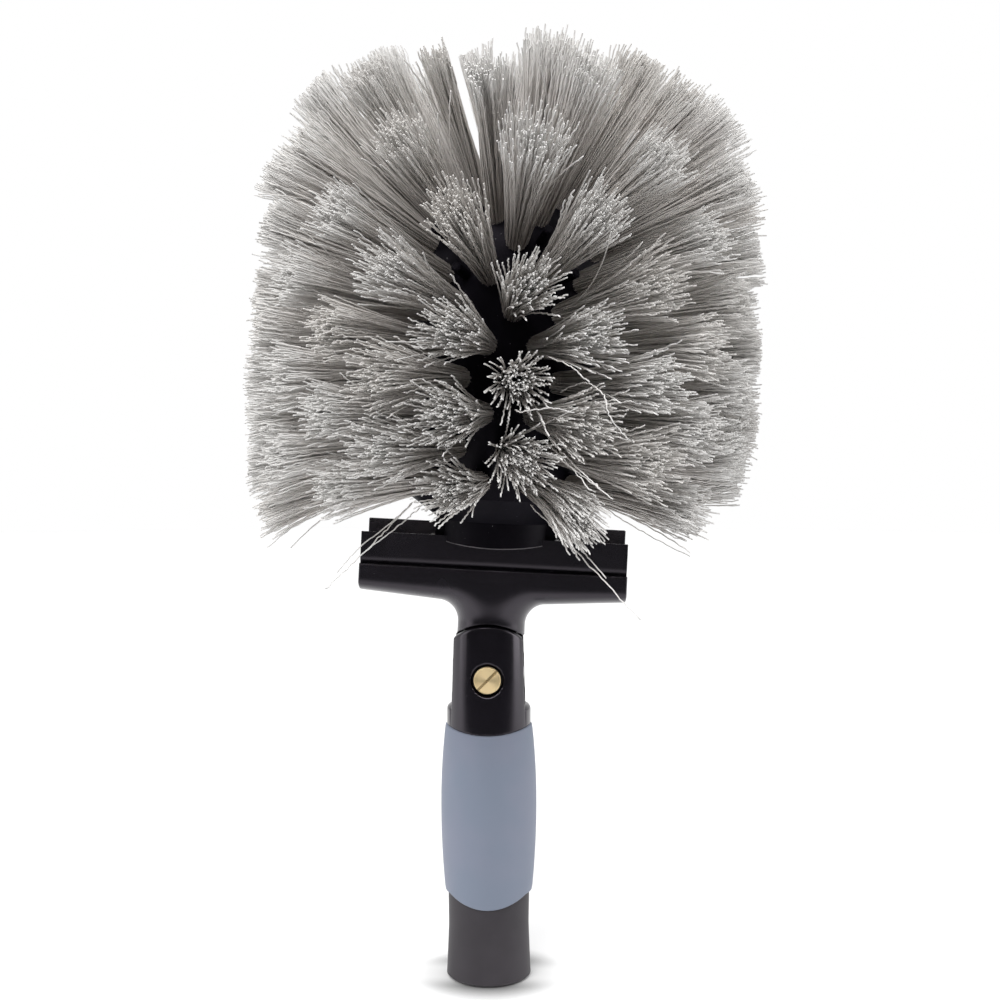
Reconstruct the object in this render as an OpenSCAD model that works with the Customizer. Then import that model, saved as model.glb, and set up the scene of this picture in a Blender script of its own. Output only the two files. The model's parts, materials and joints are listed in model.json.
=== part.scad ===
/* [Socket tube] */
// Diameter of the tube at its mouth
tube_end_d = 32.2; // [30:0.1:36]
// Diameter of the tube at its waist
tube_waist_d = 30.6; // [29.8:0.1:32]
// Height of the waist above the mouth
waist_h = 20; // [12:1:26]
// Edge break at the mouth of the tube
mouth_edge = 1; // [0.4:0.1:1.6]
// Diameter of the bore that a pole goes into
pole_bore_d = 22.2; // [18:0.1:23]
// Depth of the bore that a pole goes into
pole_depth = 70; // [56:1:74]
/* [Grip] */
// Height of the grip's lower edge at the sides
grip_low_h = 32.7; // [28:0.1:38]
// Length of the grip at the sides
grip_len = 63.7; // [60:0.1:80]
// Diameter of the grip where it is thickest
grip_d = 36.6; // [34:0.1:42]
// Diameter of the grip at its lower edge
grip_low_d = 32.4; // [31.4:0.1:34]
// Diameter of the grip at its top edge
grip_top_d = 33.2; // [32.6:0.1:35]
// Diameter of the seat under the grip
grip_seat_d = 28.8; // [27:0.1:29.4]
// How far the grip's lower edge dips at the front and the back
grip_low_dip = 4; // [1:0.1:6]
// Half the width of that dip
grip_dip_half = 14.2; // [11:0.1:15]
// How far the grip's top edge dips at the front and the back
grip_top_dip = 2.4; // [1:0.1:4]
/* [Yoke] */
// Diameter of the collar above the grip
collar_d = 32.2; // [31.6:0.1:33]
// Height of the pivot above the grip's top edge
pivot_h = 18.3; // [17.5:0.1:24]
// Diameter of the ears at their tops
ear_top_d = 30; // [28.5:0.1:31.6]
// Radius of the ears' tops about the pivot
ear_r = 20.1; // [19:0.1:22]
// Width of the slot between the ears
slot_w = 14; // [12:0.1:15]
// Radius of the slot's floor about the pivot
slot_floor_r = 17.2; // [15.6:0.1:17.4]
// Diameter of the spigot that goes into the tube
spigot_d = 24; // [23.4:0.1:25]
// Diameter of the cross pin through the spigot
pin_d = 4; // [3:0.1:5]
/* [Pivot screw] */
// Diameter of the screw's shank
shank_d = 6; // [4:0.1:7]
// Diameter of the screw's head
head_d = 10.2; // [9:0.1:11]
// Thickness of the screw's head
head_t = 2.2; // [1.6:0.1:2.4]
// Diameter of the recess round the screw's head
recess_d = 12.2; // [11.8:0.1:13.6]
// Width of the screwdriver slot
driver_w = 1; // [0.6:0.1:1.6]
// Depth of the screwdriver slot
driver_depth = 1; // [0.4:0.1:1.4]
// Thickness of the washer under the screw's head
washer_t = 0.6; // [0.4:0.1:1]
// Width of the nut across its flats
nut_w = 10; // [9:0.1:11]
// Thickness of the nut
nut_t = 4; // [3:0.1:4.5]
/* [Head holder] */
// Lean of the head against the handle
lean = 2.8; // [-10:0.1:10]
// Thickness of the tongue between the ears
tongue_t = 12; // [9:0.1:12.6]
// Radius of the tongue's end about the pivot
tongue_r = 13.5; // [11:0.1:15]
// Width of the neck above the tongue
neck_w = 20; // [14:0.5:21]
// Diameter of the friction washers
friction_d = 22; // [16:0.5:25]
// Diameter of the round stem
stem_d = 25.8; // [24:0.1:27]
// Radius of the flare between the stem and the wings
flare_r = 7.5; // [5:0.1:9]
// Height of the lip above the pivot
lip_h = 41.6; // [40:0.1:50]
// Length of the head holder from end to end
wing_len = 101.2; // [94:0.2:120]
// Depth of the wings from front to back
wing_depth = 28; // [27.4:0.1:32]
// Height of the wings at their ends
wing_end_t = 10.9; // [10:0.1:13]
// Height of the wings at the middle
wing_mid_t = 14.8; // [13.6:0.1:17]
// Height of the upright lip above the rounded belly
lip_t = 4.6; // [3:0.1:6]
// Depth of the channel in the wings
channel_depth = 6; // [5:0.1:6.6]
/* [Brush bar] */
// Depth of the bar from front to back
bar_depth = 24; // [22:0.1:24.8]
// How far the bar stops short of each end of the holder
bar_inset = 0.3; // [0:0.1:3]
// Height of the bar's front wall
bar_front_h = 17.8; // [16:0.1:20]
// Height of the bar's rear wall
bar_rear_h = 21.8; // [20:0.1:24]
// Thickness of the bar's walls
bar_wall = 2; // [1.4:0.1:2.6]
// Thickness of the bar's floor
bar_floor = 3.2; // [2.8:0.1:4]
// Distance between the two screws that hold the bar
holder_screw_gap = 72; // [60:1:80]
// Distance between the two screws that hold the core
core_screw_gap = 24; // [16:1:30]
// Diameter of the small screws' shanks
small_shank_d = 4; // [3:0.1:4.5]
// Diameter of the small screws' heads
small_head_d = 7; // [6:0.1:8]
/* [Core] */
// Diameter of the core's skin
core_d = 70; // [66:0.5:80]
// Diameter of the core's foot
foot_d = 43.2; // [40:0.1:45]
// Height of the foot's front edge below the bar's front wall top
foot_drop = 3.5; // [2:0.1:5]
// How far the foot's edge rises from the front to the sides
foot_rise = 1.9; // [0.5:0.1:3]
// Thickness of the skin that holds the tufts
skin_t = 3.6; // [3.2:0.1:4.5]
// Thickness of the shell under the skin
shell_t = 3; // [2:0.1:4]
// Height of the domed end of the core
dome_h = 28.5; // [26:0.5:34]
/* [Bristles] */
// Diameter of the whole brush over its tips
brush_d = 196; // [180:1:220]
// Height of the domed end over the tips
tip_dome_h = 74; // [66:1:82]
// Height of the first row above the bar's front wall top
first_row_h = 21.1; // [20:0.1:26]
// Distance between the rows on the core's straight wall
row_pitch = 12.5; // [12:0.1:14]
// Width of a strand where it leaves the core
strand_w = 1.8; // [1.2:0.1:2]
// Width of a strand at its tip
strand_tip_w = 1.1; // [0.7:0.1:1.4]
// Diameter of a tuft where it leaves the core
tuft_d = 5.2; // [4.4:0.1:5.6]
// Spread of a tuft, from its middle to its edge, in degrees
tuft_spread = 9.5; // [6:0.1:10]
// Diameter of the pegs between the tufts
peg_d = 3.8; // [3:0.1:4.4]
// Length of the pegs
peg_len = 9; // [5:0.5:12]
/* [Hidden] */
$fn = 96;

// Gap between pieces that are fixed to each other
fit = 0.04;
// Gap between faces that turn past each other
slide = 0.05;
// Gap between the holder's shoulder and the tops of the ears
shoulder_gap = 0.35;
// Length by which a cut runs past the face it opens
over = 1;

// The tube flares by this power from its waist to its mouth
flare_power = 1.1;
// What the tube's diameter gains under the grip
under_grip_gain = 0.4;
function flared_radius(z) =
    tube_waist_d / 2 + (tube_end_d - tube_waist_d) / 2 * pow(1 - z / waist_h, flare_power);

// Heights of the handle's pieces
grip_top_h = grip_low_h + grip_len;
yoke_seat_h = 8.4;
tube_top = grip_top_h - yoke_seat_h;
pivot_z = grip_top_h + pivot_h;
ear_top = pivot_z + ear_r;
ear_foot = grip_top_h - grip_top_dip;
pin_z = (pole_depth + tube_top) / 2;
pin_inset = 0.5;
horn_edge = 2.2;
horn_h = 7.6;
horn_top = grip_top_h + horn_h;

// Places along the pivot, from the front face inwards
ear_face = collar_d / 2 + (ear_top_d - collar_d) / 2 * (pivot_z - ear_foot) / (ear_top - ear_foot);
head_inset = 0.4;
nut_inset = 0.5;
shank_inset = 0.9;
recess_floor = ear_face - washer_t - head_t - 2 * slide - head_inset;
head_seat = recess_floor + washer_t + slide;
nut_seat = ear_face - nut_t - nut_inset;
shank_end = ear_face - shank_inset;
recess_bevel = 0.9;
screw_edge = 0.3;
washer_gap = 0.3;
washer_d = recess_d - 2 * washer_gap;
friction_t = (slot_w - tongue_t) / 2 - slide;

// Heights of the head's pieces, with the head upright
lip_z = pivot_z + lip_h;
channel_z = lip_z - channel_depth;
bar_z = channel_z + fit;
bar_floor_z = bar_z + bar_floor;
bar_front_z = channel_z + bar_front_h;
bar_rear_z = channel_z + bar_rear_h;
bar_len = wing_len - 2 * bar_inset;
bar_inside = bar_depth / 2 - bar_wall;
foot_front_z = bar_front_z - foot_drop;
cross_wall_gap = 1;
cross_wall_x = foot_d / 2 + cross_wall_gap;
boss_half = cross_wall_x - fit;
boss_wall = 2.4;
boss_h = 9;
boss_top = bar_floor_z + boss_h;
bar_end_drop = 2;

// Small screws, and the room round them
small_head_t = 1.6;
small_slot_w = 1;
head_room = 0.5;
head_sink = 2;
holder_screw_spare = 2;
core_screw_spare = 4;
blind_end = 1;

// Outline of the core and of the brush's tips
core_r = core_d / 2;
round_power = 2.4;
wall_rows = 8;
dome_rows = 4;
rows = wall_rows + dome_rows;
row_zero_z = bar_front_z + first_row_h;
stack_z = row_zero_z - row_pitch / 2;
dome_z = row_zero_z + (wall_rows - 1.6) * row_pitch;
foot_flare_h = 9;
foot_flare_z = stack_z - foot_flare_h;
flare_inset = 0.5;
plug_h = 7;
well_h = 6;
shell_r = core_r - skin_t - fit;
shell_in_r = shell_r - shell_t;
tip_r = brush_d / 2;
tip_dome_rise = 14.2;
tip_dome_z = dome_z + tip_dome_rise;
wall_tip_drop = 4;
wall_tip_gain = 33;
wall_tip_power = 3.2;

// Rows of tufts
tufts_per_row = 12;
tufts_lost_per_dome_row = 3;
first_azimuth = -9;
root_depth = 2.2;
dome_step = 16.4;
dome_first = 13.2;
tip_step = 16.6;
tip_first = 13.5;
row_gap_angle = 0.05;
low_row_spread = 4;
bend_at = 0.45;
bend_share = 0.25;

// Distance from the centre of a rounded outline to its edge, at a polar angle
function round_reach(a, b, angle) =
    1 / pow(pow(cos(angle) / a, round_power) + pow(sin(angle) / b, round_power), 1 / round_power);
function round_point(a, b, z, angle) =
    let (reach = round_reach(a, b, angle)) [reach * cos(angle), z + reach * sin(angle)];

// Where row k leaves the core, and where its tips are, as radius and height
function dome_angle(k) = dome_first + dome_step * (k - wall_rows + 1);
function row_root(k) = k < wall_rows - 1
    ? [core_r, row_zero_z + row_pitch * k]
    : round_point(core_r, dome_h, dome_z, dome_angle(k));
function wall_tip_rise(k) = wall_tip_gain * pow(k / (wall_rows - 1), wall_tip_power) - wall_tip_drop;
function row_tip(k) = k < wall_rows - 1
    ? [tip_r, row_zero_z + row_pitch * k + wall_tip_rise(k)]
    : round_point(tip_r, tip_dome_h, tip_dome_z, tip_first + tip_step * (k - wall_rows + 1));
function row_length(k) = norm(row_tip(k) - row_root(k));
function row_rise(k) = let (run = row_tip(k) - row_root(k)) atan2(run[1], run[0]);
function row_tufts(k) = k < wall_rows ? tufts_per_row
    : tufts_per_row - tufts_lost_per_dome_row * (k - wall_rows);
function row_azimuth(k) = first_azimuth + (k % 2) * 180 / tufts_per_row;
function row_strands(k) = k <= wall_rows ? 4 : 3;
function row_spread(k) = tuft_spread + (k == 0 ? low_row_spread : 0);
function tuft_twist(k, t) = 37 * k + 50 * t;

module turned_about_pivot(angle) {
    translate([0, 0, pivot_z]) rotate([0, angle, 0]) translate([0, 0, -pivot_z]) children();
}

// The head is drawn upright and leans as a whole
module head() {
    turned_about_pivot(lean) children();
}

module along_y(z, r, y0, y1) {
    translate([0, y0, z]) rotate([-90, 0, 0]) cylinder(r = r, h = y1 - y0);
}

module across(x, y, z0, z1) {
    translate([-x, -y, z0]) cube([2 * x, 2 * y, z1 - z0]);
}

// The space that the grip fills, between its two waved edges
module grip_zone(gap) {
    low_r = (pow(grip_dip_half, 2) + pow(grip_low_dip, 2)) / (2 * grip_low_dip);
    top_r = (pow(grip_top_d / 2, 2) + pow(grip_top_dip, 2)) / (2 * grip_top_dip);
    low_front = grip_low_h - grip_low_dip;
    difference() {
        union() {
            across(grip_d, grip_d, grip_low_h - gap, grip_top_h + gap);
            intersection() {
                across(grip_dip_half, grip_d, low_front - over, grip_low_h);
                along_y(low_front + low_r, low_r + gap, -grip_d, grip_d);
            }
        }
        along_y(grip_top_h - grip_top_dip + top_r, top_r - gap, -grip_d, grip_d);
    }
}

module grip_groove() {
    difference() {
        grip_zone(fit);
        cylinder(d = grip_seat_d, h = grip_top_h + over);
    }
}

module tube_outline() {
    steps = 6;
    under_r = (tube_waist_d + under_grip_gain) / 2;
    polygon(concat(
        [[0, 0], [flared_radius(mouth_edge) - mouth_edge, 0]],
        [for (i = [0:steps]) let (z = mouth_edge + (waist_h - mouth_edge) * i / steps) [flared_radius(z), z]],
        [[under_r, grip_low_h], [under_r, tube_top], [0, tube_top]]
    ));
}

module socket_tube() {
    color("dimgray") difference() {
        rotate_extrude() tube_outline();
        grip_groove();
        translate([0, 0, -over]) cylinder(d = pole_bore_d, h = pole_depth + over + fit);
        translate([0, 0, pole_depth]) cylinder(d = spigot_d, h = tube_top - pole_depth + over);
        pin_hole();
    }
}

module pin_hole() {
    translate([-grip_d, 0, pin_z]) rotate([0, 90, 0]) cylinder(d = pin_d + 2 * fit, h = 2 * grip_d);
}

// The grip bulges from its thickest height to each end along a parabola
module grip_outline() {
    steps = 12;
    middle = grip_low_h + grip_len * 0.53;
    low = grip_low_h - grip_low_dip;
    function bulge(z) = z < middle
        ? grip_d / 2 - (grip_d - grip_low_d) / 2 * pow((middle - z) / (middle - low), 2)
        : grip_d / 2 - (grip_d - grip_top_d) / 2 * pow((z - middle) / (grip_top_h - middle), 2);
    polygon(concat(
        [[grip_seat_d / 2 + fit, grip_top_h], [grip_seat_d / 2 + fit, low]],
        [for (i = [0:steps]) let (z = low + (grip_top_h - low) * i / steps) [bulge(z), z]]
    ));
}

module grip_sleeve() {
    color("lightsteelblue") intersection() {
        rotate_extrude() grip_outline();
        grip_zone(0);
    }
}

module yoke_outline() {
    polygon([
        [0, tube_top + fit],
        [collar_d / 2, tube_top + fit],
        [collar_d / 2, ear_foot],
        [ear_top_d / 2, ear_top],
        [0, ear_top]
    ]);
}

// The collar stays full between the ears and ends in a rounded horn at each side
module yoke_horns() {
    intersection() {
        rotate_extrude() union() {
            translate([0, ear_foot]) square([collar_d / 2, horn_top - horn_edge - ear_foot]);
            translate([0, ear_foot]) square([collar_d / 2 - horn_edge, horn_top - ear_foot]);
            translate([collar_d / 2 - horn_edge, horn_top - horn_edge]) circle(r = horn_edge);
        }
        across(collar_d, slot_w / 2, ear_foot, horn_top);
    }
}

module yoke() {
    color([0.1, 0.1, 0.12]) difference() {
        union() {
            difference() {
                intersection() {
                    rotate_extrude() yoke_outline();
                    union() {
                        across(collar_d, collar_d, 0, pivot_z);
                        along_y(pivot_z, ear_r, -collar_d, collar_d);
                    }
                }
                across(collar_d, slot_w / 2, ear_foot, ear_top + over);
            }
            yoke_horns();
            translate([0, 0, pole_depth + fit])
                cylinder(d = spigot_d - 2 * fit, h = tube_top - pole_depth);
        }
        grip_groove();
        pin_hole();
        along_y(pivot_z, slot_floor_r, -slot_w / 2, slot_w / 2);
        along_y(pivot_z, shank_d / 2 + slide, -collar_d, collar_d);
        along_y(pivot_z, recess_d / 2, -collar_d, -recess_floor);
        translate([0, -ear_face + recess_bevel, pivot_z]) rotate([90, 0, 0])
            cylinder(r1 = recess_d / 2, r2 = recess_d / 2 + 2 * recess_bevel, h = 2 * recess_bevel);
        translate([0, nut_seat, pivot_z]) rotate([-90, 30, 0])
            cylinder(d = (nut_w + 2 * fit) / cos(30), h = collar_d, $fn = 6);
    }
}

module yoke_pin() {
    length = grip_seat_d - 2 * pin_inset;
    color("silver") translate([-length / 2, 0, pin_z]) rotate([0, 90, 0]) cylinder(d = pin_d, h = length);
}

module pivot_nut() {
    color("goldenrod") difference() {
        translate([0, nut_seat + fit, pivot_z]) rotate([-90, 30, 0])
            cylinder(d = nut_w / cos(30), h = nut_t, $fn = 6);
        along_y(pivot_z, shank_d / 2 + slide, 0, collar_d);
    }
}

module pivot_screw() {
    color("goldenrod") difference() {
        union() {
            along_y(pivot_z, shank_d / 2, -head_seat - screw_edge, shank_end);
            translate([0, -head_seat, pivot_z]) rotate([90, 0, 0]) {
                cylinder(d = head_d, h = head_t - screw_edge);
                translate([0, 0, head_t - screw_edge])
                    cylinder(d1 = head_d, d2 = head_d - 2 * screw_edge, h = screw_edge);
            }
        }
        translate([0, -head_seat - head_t, pivot_z]) rotate([0, -45, 0])
            across(head_d, driver_depth, -driver_w / 2, driver_w / 2);
    }
}

module ring_on_pivot(d, y0, y1) {
    difference() {
        along_y(pivot_z, d / 2, y0, y1);
        along_y(pivot_z, shank_d / 2 + slide, y0 - over, y1 + over);
    }
}

module screw_washer() {
    color("silver") ring_on_pivot(washer_d, -recess_floor - washer_t, -recess_floor);
}

module friction_washer_front() {
    color("gray") head() ring_on_pivot(friction_d, -tongue_t / 2 - friction_t, -tongue_t / 2);
}

module friction_washer_rear() {
    color("gray") head() ring_on_pivot(friction_d, tongue_t / 2, tongue_t / 2 + friction_t);
}

// Half of the wing's cross-section: an upright lip over a rounded belly of the given height
module wing_section(height) {
    belly = height - lip_t;
    belly_power = 2.5;
    steps = 10;
    side = [for (i = [0:steps]) let (a = 90 * i / steps) [
        wing_depth / 2 * pow(cos(a), 2 / belly_power), -lip_t - belly * pow(sin(a), 2 / belly_power)]];
    polygon(concat([[wing_depth / 2, 0]], side,
        [for (i = [steps - 1:-1:0]) [-side[i][0], side[i][1]]], [[-wing_depth / 2, 0]]));
}

module wing_slice(x, height, thickness) {
    translate([x, 0, lip_z]) rotate([90, 0, 90]) linear_extrude(thickness) wing_section(height);
}

module wing() {
    sheet = 0.1;
    hull() {
        wing_slice(0, wing_mid_t, sheet);
        wing_slice(wing_len / 2 - sheet, wing_end_t, sheet);
    }
}

// Height of the wings at a distance from the middle
function wing_height(x) = wing_mid_t + (wing_end_t - wing_mid_t) * x / (wing_len / 2);

module holder_stem() {
    steps = 10;
    stem_r = stem_d / 2;
    flare_z = lip_z - wing_height(stem_r + flare_r);
    top_z = flare_z + (lip_z - flare_z) / 8;
    arc = [for (i = [0:steps]) let (a = 90 * i / steps)
        [stem_r + flare_r * (1 - cos(a)), flare_z - flare_r * (1 - sin(a))]];
    intersection() {
        rotate_extrude() polygon(concat([[0, pivot_z], [stem_r, pivot_z]], arc,
            [[stem_r + flare_r, top_z], [0, top_z]]));
        across(wing_len, stem_r, pivot_z, lip_z);
    }
}

module head_holder() {
    spot_z = lip_z - wing_height(holder_screw_gap / 2) + head_sink;
    color([0.1, 0.1, 0.12]) head() difference() {
        union() {
            wing();
            mirror([1, 0, 0]) wing();
            difference() {
                holder_stem();
                along_y(pivot_z, ear_r + shoulder_gap, -wing_depth, wing_depth);
            }
            across(neck_w / 2, tongue_t / 2, pivot_z, (pivot_z + ear_r + channel_z) / 2);
            along_y(pivot_z, tongue_r, -tongue_t / 2, tongue_t / 2);
        }
        across(wing_len, bar_depth / 2 + fit, channel_z, lip_z + over);
        along_y(pivot_z, shank_d / 2 + slide, -wing_depth, wing_depth);
        for (side = [-1, 1]) translate([side * holder_screw_gap / 2, 0, 0]) {
            translate([0, 0, pivot_z]) cylinder(d = small_shank_d + 2 * fit, h = lip_h);
            translate([0, 0, spot_z - wing_mid_t])
                cylinder(d = small_head_d + 2 * head_room, h = wing_mid_t);
        }
    }
}

// A screw that points up, with its head's underside at height z
module small_screw(x, z, length) {
    translate([x, 0, z]) {
        cylinder(d = small_shank_d, h = length - small_shank_d / 4);
        translate([0, 0, length - small_shank_d / 4])
            cylinder(d1 = small_shank_d, d2 = small_shank_d / 2, h = small_shank_d / 4);
        difference() {
            translate([0, 0, -small_head_t]) cylinder(d = small_head_d, h = small_head_t);
            translate([0, 0, -small_head_t - over]) {
                across(small_head_d / 3, small_slot_w / 2, 0, over + small_head_t / 2);
                across(small_slot_w / 2, small_head_d / 3, 0, over + small_head_t / 2);
            }
        }
    }
}

module holder_screws() {
    spot_z = lip_z - wing_height(holder_screw_gap / 2) + head_sink;
    color("silver") head() for (side = [-1, 1])
        small_screw(side * holder_screw_gap / 2, spot_z - fit, boss_top - spot_z - holder_screw_spare);
}

module brush_bar() {
    color([0.1, 0.1, 0.12]) head() difference() {
        union() {
            across(bar_len / 2, bar_depth / 2, bar_z, bar_floor_z);
            for (side = [[-1, bar_front_z], [1, bar_rear_z]])
                translate([-bar_len / 2, side[0] * (bar_depth - bar_wall) / 2 - bar_wall / 2, bar_z])
                    cube([bar_len, bar_wall, side[1] - bar_z]);
            for (side = [-1, 1]) {
                translate([side * (cross_wall_x + bar_wall / 2), 0, 0])
                    across(bar_wall / 2, bar_inside + fit, bar_z, bar_front_z);
                translate([side * (bar_len - bar_wall) / 2, 0, 0])
                    across(bar_wall / 2, bar_inside + fit, bar_z, bar_front_z - bar_end_drop);
                translate([side * holder_screw_gap / 2, 0, bar_z])
                    cylinder(d = small_shank_d + 2 * boss_wall, h = boss_top - bar_z);
            }
        }
        for (side = [-1, 1]) {
            translate([side * holder_screw_gap / 2, 0, bar_z - over])
                cylinder(d = small_shank_d + 2 * fit, h = boss_top - bar_z - blind_end + over);
            translate([side * core_screw_gap / 2, 0, bar_z - over]) {
                cylinder(d = small_shank_d + 2 * fit, h = bar_floor + 2 * over);
                cylinder(d = small_head_d + 2 * head_room, h = small_head_t + 2 * fit + over);
            }
        }
    }
}

module core_foot() {
    edge_r = (pow(foot_d / 2, 2) + pow(foot_rise, 2)) / (2 * foot_rise);
    well_z = stack_z - well_h;
    color([0.08, 0.08, 0.1]) head() difference() {
        union() {
            intersection() {
                translate([0, 0, foot_front_z]) cylinder(d = foot_d, h = foot_flare_z - foot_front_z);
                along_y(foot_front_z + edge_r, edge_r, -foot_d, foot_d);
            }
            across(boss_half, bar_inside - fit, bar_floor_z + fit, foot_flare_z);
            translate([0, 0, foot_flare_z])
                cylinder(d1 = foot_d, d2 = core_d - 2 * flare_inset, h = stack_z - foot_flare_z - fit);
            translate([0, 0, stack_z - over]) cylinder(r = shell_in_r - fit, h = plug_h + over);
        }
        for (side = [[-1, bar_front_z], [1, bar_rear_z]])
            translate([0, side[0] * (bar_depth - bar_wall) / 2, 0])
                across(foot_d, bar_wall / 2 + fit, foot_front_z - foot_d, side[1] + fit);
        translate([0, 0, well_z]) cylinder(r = shell_in_r - 2 * shell_t, h = plug_h + stack_z - well_z + over);
        for (side = [-1, 1]) translate([side * core_screw_gap / 2, 0, bar_z])
            cylinder(d = small_shank_d + 2 * fit, h = foot_flare_z - bar_z);
    }
}

module core_screws() {
    color("silver") head() for (side = [-1, 1])
        small_screw(side * core_screw_gap / 2, bar_z + small_head_t + fit,
            foot_flare_z - bar_z - core_screw_spare);
}

// Outline of the core, drawn in by the given inset
function core_edge(inset) = concat(
    [[core_r - inset, stack_z]],
    [for (a = [0:7.5:90]) round_point(core_r - inset, dome_h - inset, dome_z, a)]);

module core_band(outer, inner) {
    edge_in = core_edge(inner);
    last = len(edge_in) - 1;
    polygon(concat(core_edge(outer), [for (i = [last:-1:0]) edge_in[i]]));
}

module core_shell() {
    color([0.08, 0.08, 0.1]) head() rotate_extrude()
        core_band(skin_t + fit, skin_t + fit + shell_t);
}

// The part of the skin that belongs to row k
module row_mask(k) {
    far = 2 * core_d;
    low = stack_z + row_pitch * k + fit;
    start = dome_angle(k) - dome_step / 2 + row_gap_angle;
    end = dome_angle(k) + dome_step / 2 - row_gap_angle;
    if (k < wall_rows - 1) translate([0, low]) square([far, row_pitch - 2 * fit]);
    else if (k == wall_rows - 1) polygon([
        [(low - dome_z) / tan(end), low], [far, low], [far, dome_z + far * tan(end)]]);
    else if (k == rows - 1) polygon([
        [0, dome_z], [far * cos(start), dome_z + far * sin(start)], [0, dome_z + far]]);
    else polygon([
        [0, dome_z],
        [far * cos(start), dome_z + far * sin(start)],
        [far * cos(end), dome_z + far * sin(end)]]);
}

// One strand of three sides that leaves its tuft nearly straight and then spreads
module strand(length, angle, spread) {
    sides = 3;
    tip_reach = length * tan(spread);
    root_reach = tuft_d / 2;
    levels = [
        [root_reach, -root_depth, strand_w / 2],
        [root_reach + (tip_reach - root_reach) * bend_share, length * bend_at, strand_w / 2],
        [tip_reach, length, strand_tip_w / 2]];
    corners = [for (level = levels) for (i = [0:sides - 1]) let (a = angle + i * 360 / sides)
        [level[0] * cos(angle) + level[2] * cos(a), level[0] * sin(angle) + level[2] * sin(a), level[1]]];
    top = sides * (len(levels) - 1);
    faces = concat(
        [[0, 1, 2], [top + 2, top + 1, top]],
        [for (j = [0:len(levels) - 2]) for (i = [0:sides - 1]) let (n = (i + 1) % sides, b = sides * j)
            each [[b + i, b + sides + i, b + sides + n], [b + i, b + sides + n, b + n]]]);
    polyhedron(points = corners, faces = faces);
}

module on_row(k, azimuth) {
    root = row_root(k);
    rotate([0, 0, azimuth]) translate([root[0], 0, root[1]]) rotate([0, 90 - row_rise(k), 0]) children();
}

module tuft(k, t) {
    on_row(k, row_azimuth(k) + 360 * t / row_tufts(k))
        for (s = [0:row_strands(k) - 1])
            strand(row_length(k), tuft_twist(k, t) + 360 * s / row_strands(k), row_spread(k));
}

module peg() {
    edge = peg_d / 6;
    translate([0, 0, -root_depth]) cylinder(d = peg_d, h = peg_len + root_depth - edge);
    translate([0, 0, peg_len - edge]) cylinder(d1 = peg_d, d2 = peg_d - 2 * edge, h = edge);
}

// Pegs stand on some rows, midway between two tufts, at every second gap
function has_pegs(k) = k > 1 && k < wall_rows && (k % 2 == 0 || k == wall_rows - 1);

module bristle_row(k) {
    gap = 360 / tufts_per_row;
    color("gainsboro") head() union() {
        rotate_extrude() intersection() {
            core_band(0, skin_t);
            row_mask(k);
        }
        for (t = [0:row_tufts(k) - 1]) tuft(k, t);
        if (has_pegs(k)) for (t = [0:tufts_per_row / 2 - 1])
            on_row(k, row_azimuth(k) + gap * (2 * t + (k % 2 == 0 ? 0.5 : 1.5))) peg();
    }
}

socket_tube();
grip_sleeve();
yoke();
yoke_pin();
pivot_nut();
pivot_screw();
screw_washer();
friction_washer_front();
friction_washer_rear();
head_holder();
holder_screws();
brush_bar();
core_foot();
core_shell();
core_screws();
bristle_row(0);  // bristle_row_1
bristle_row(1);  // bristle_row_2
bristle_row(2);  // bristle_row_3
bristle_row(3);  // bristle_row_4
bristle_row(4);  // bristle_row_5
bristle_row(5);  // bristle_row_6
bristle_row(6);  // bristle_row_7
bristle_row(7);  // bristle_row_8
bristle_row(8);  // bristle_row_9
bristle_row(9);  // bristle_row_10
bristle_row(10);  // bristle_row_11
bristle_row(11);  // bristle_row_12
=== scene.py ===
import json
import math
import random

import bmesh
import bpy
from bpy.props import FloatProperty, FloatVectorProperty, IntProperty, PointerProperty
from mathutils import Matrix, Vector


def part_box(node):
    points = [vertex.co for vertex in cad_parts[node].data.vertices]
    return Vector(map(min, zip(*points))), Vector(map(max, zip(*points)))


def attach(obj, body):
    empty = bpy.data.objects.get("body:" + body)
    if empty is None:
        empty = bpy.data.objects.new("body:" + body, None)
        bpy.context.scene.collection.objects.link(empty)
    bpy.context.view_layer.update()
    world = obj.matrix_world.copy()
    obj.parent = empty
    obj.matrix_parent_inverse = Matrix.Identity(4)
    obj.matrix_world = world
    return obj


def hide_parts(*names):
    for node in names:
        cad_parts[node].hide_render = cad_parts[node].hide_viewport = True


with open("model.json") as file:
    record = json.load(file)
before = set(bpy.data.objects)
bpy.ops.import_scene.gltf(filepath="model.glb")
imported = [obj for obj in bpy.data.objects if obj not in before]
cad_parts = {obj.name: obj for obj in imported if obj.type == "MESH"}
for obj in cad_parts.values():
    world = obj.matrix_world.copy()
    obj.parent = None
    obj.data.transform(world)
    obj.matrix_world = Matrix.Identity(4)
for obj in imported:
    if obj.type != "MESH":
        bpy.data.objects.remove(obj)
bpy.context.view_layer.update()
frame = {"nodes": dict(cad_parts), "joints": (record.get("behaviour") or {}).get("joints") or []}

bl_info = {
    "name": "Cobweb Brush",
    "version": (1, 0, 0),
    "blender": (4, 5, 0),
    "location": "3D View > Sidebar > Cobweb Brush",
    "description": "Dresses a cobweb brush with its grip, swivelling head and rows of crimped filaments",
    "category": "Add Mesh",
}

MM = 0.001
FIT = 0.04 * MM
GOLDEN_ANGLE = math.pi * (3 - math.sqrt(5))

# The head is drawn upright and leans as a whole about the pivot
PIVOT = Vector(next(j["pos_m"] for j in frame["joints"] if j["name"] == "head_swivel"))
LEAN = math.radians(2.8)
TO_LEAN = Matrix.Translation(PIVOT) @ Matrix.Rotation(LEAN, 4, "Y") @ Matrix.Translation(-PIVOT)
TO_UPRIGHT = TO_LEAN.inverted()


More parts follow.
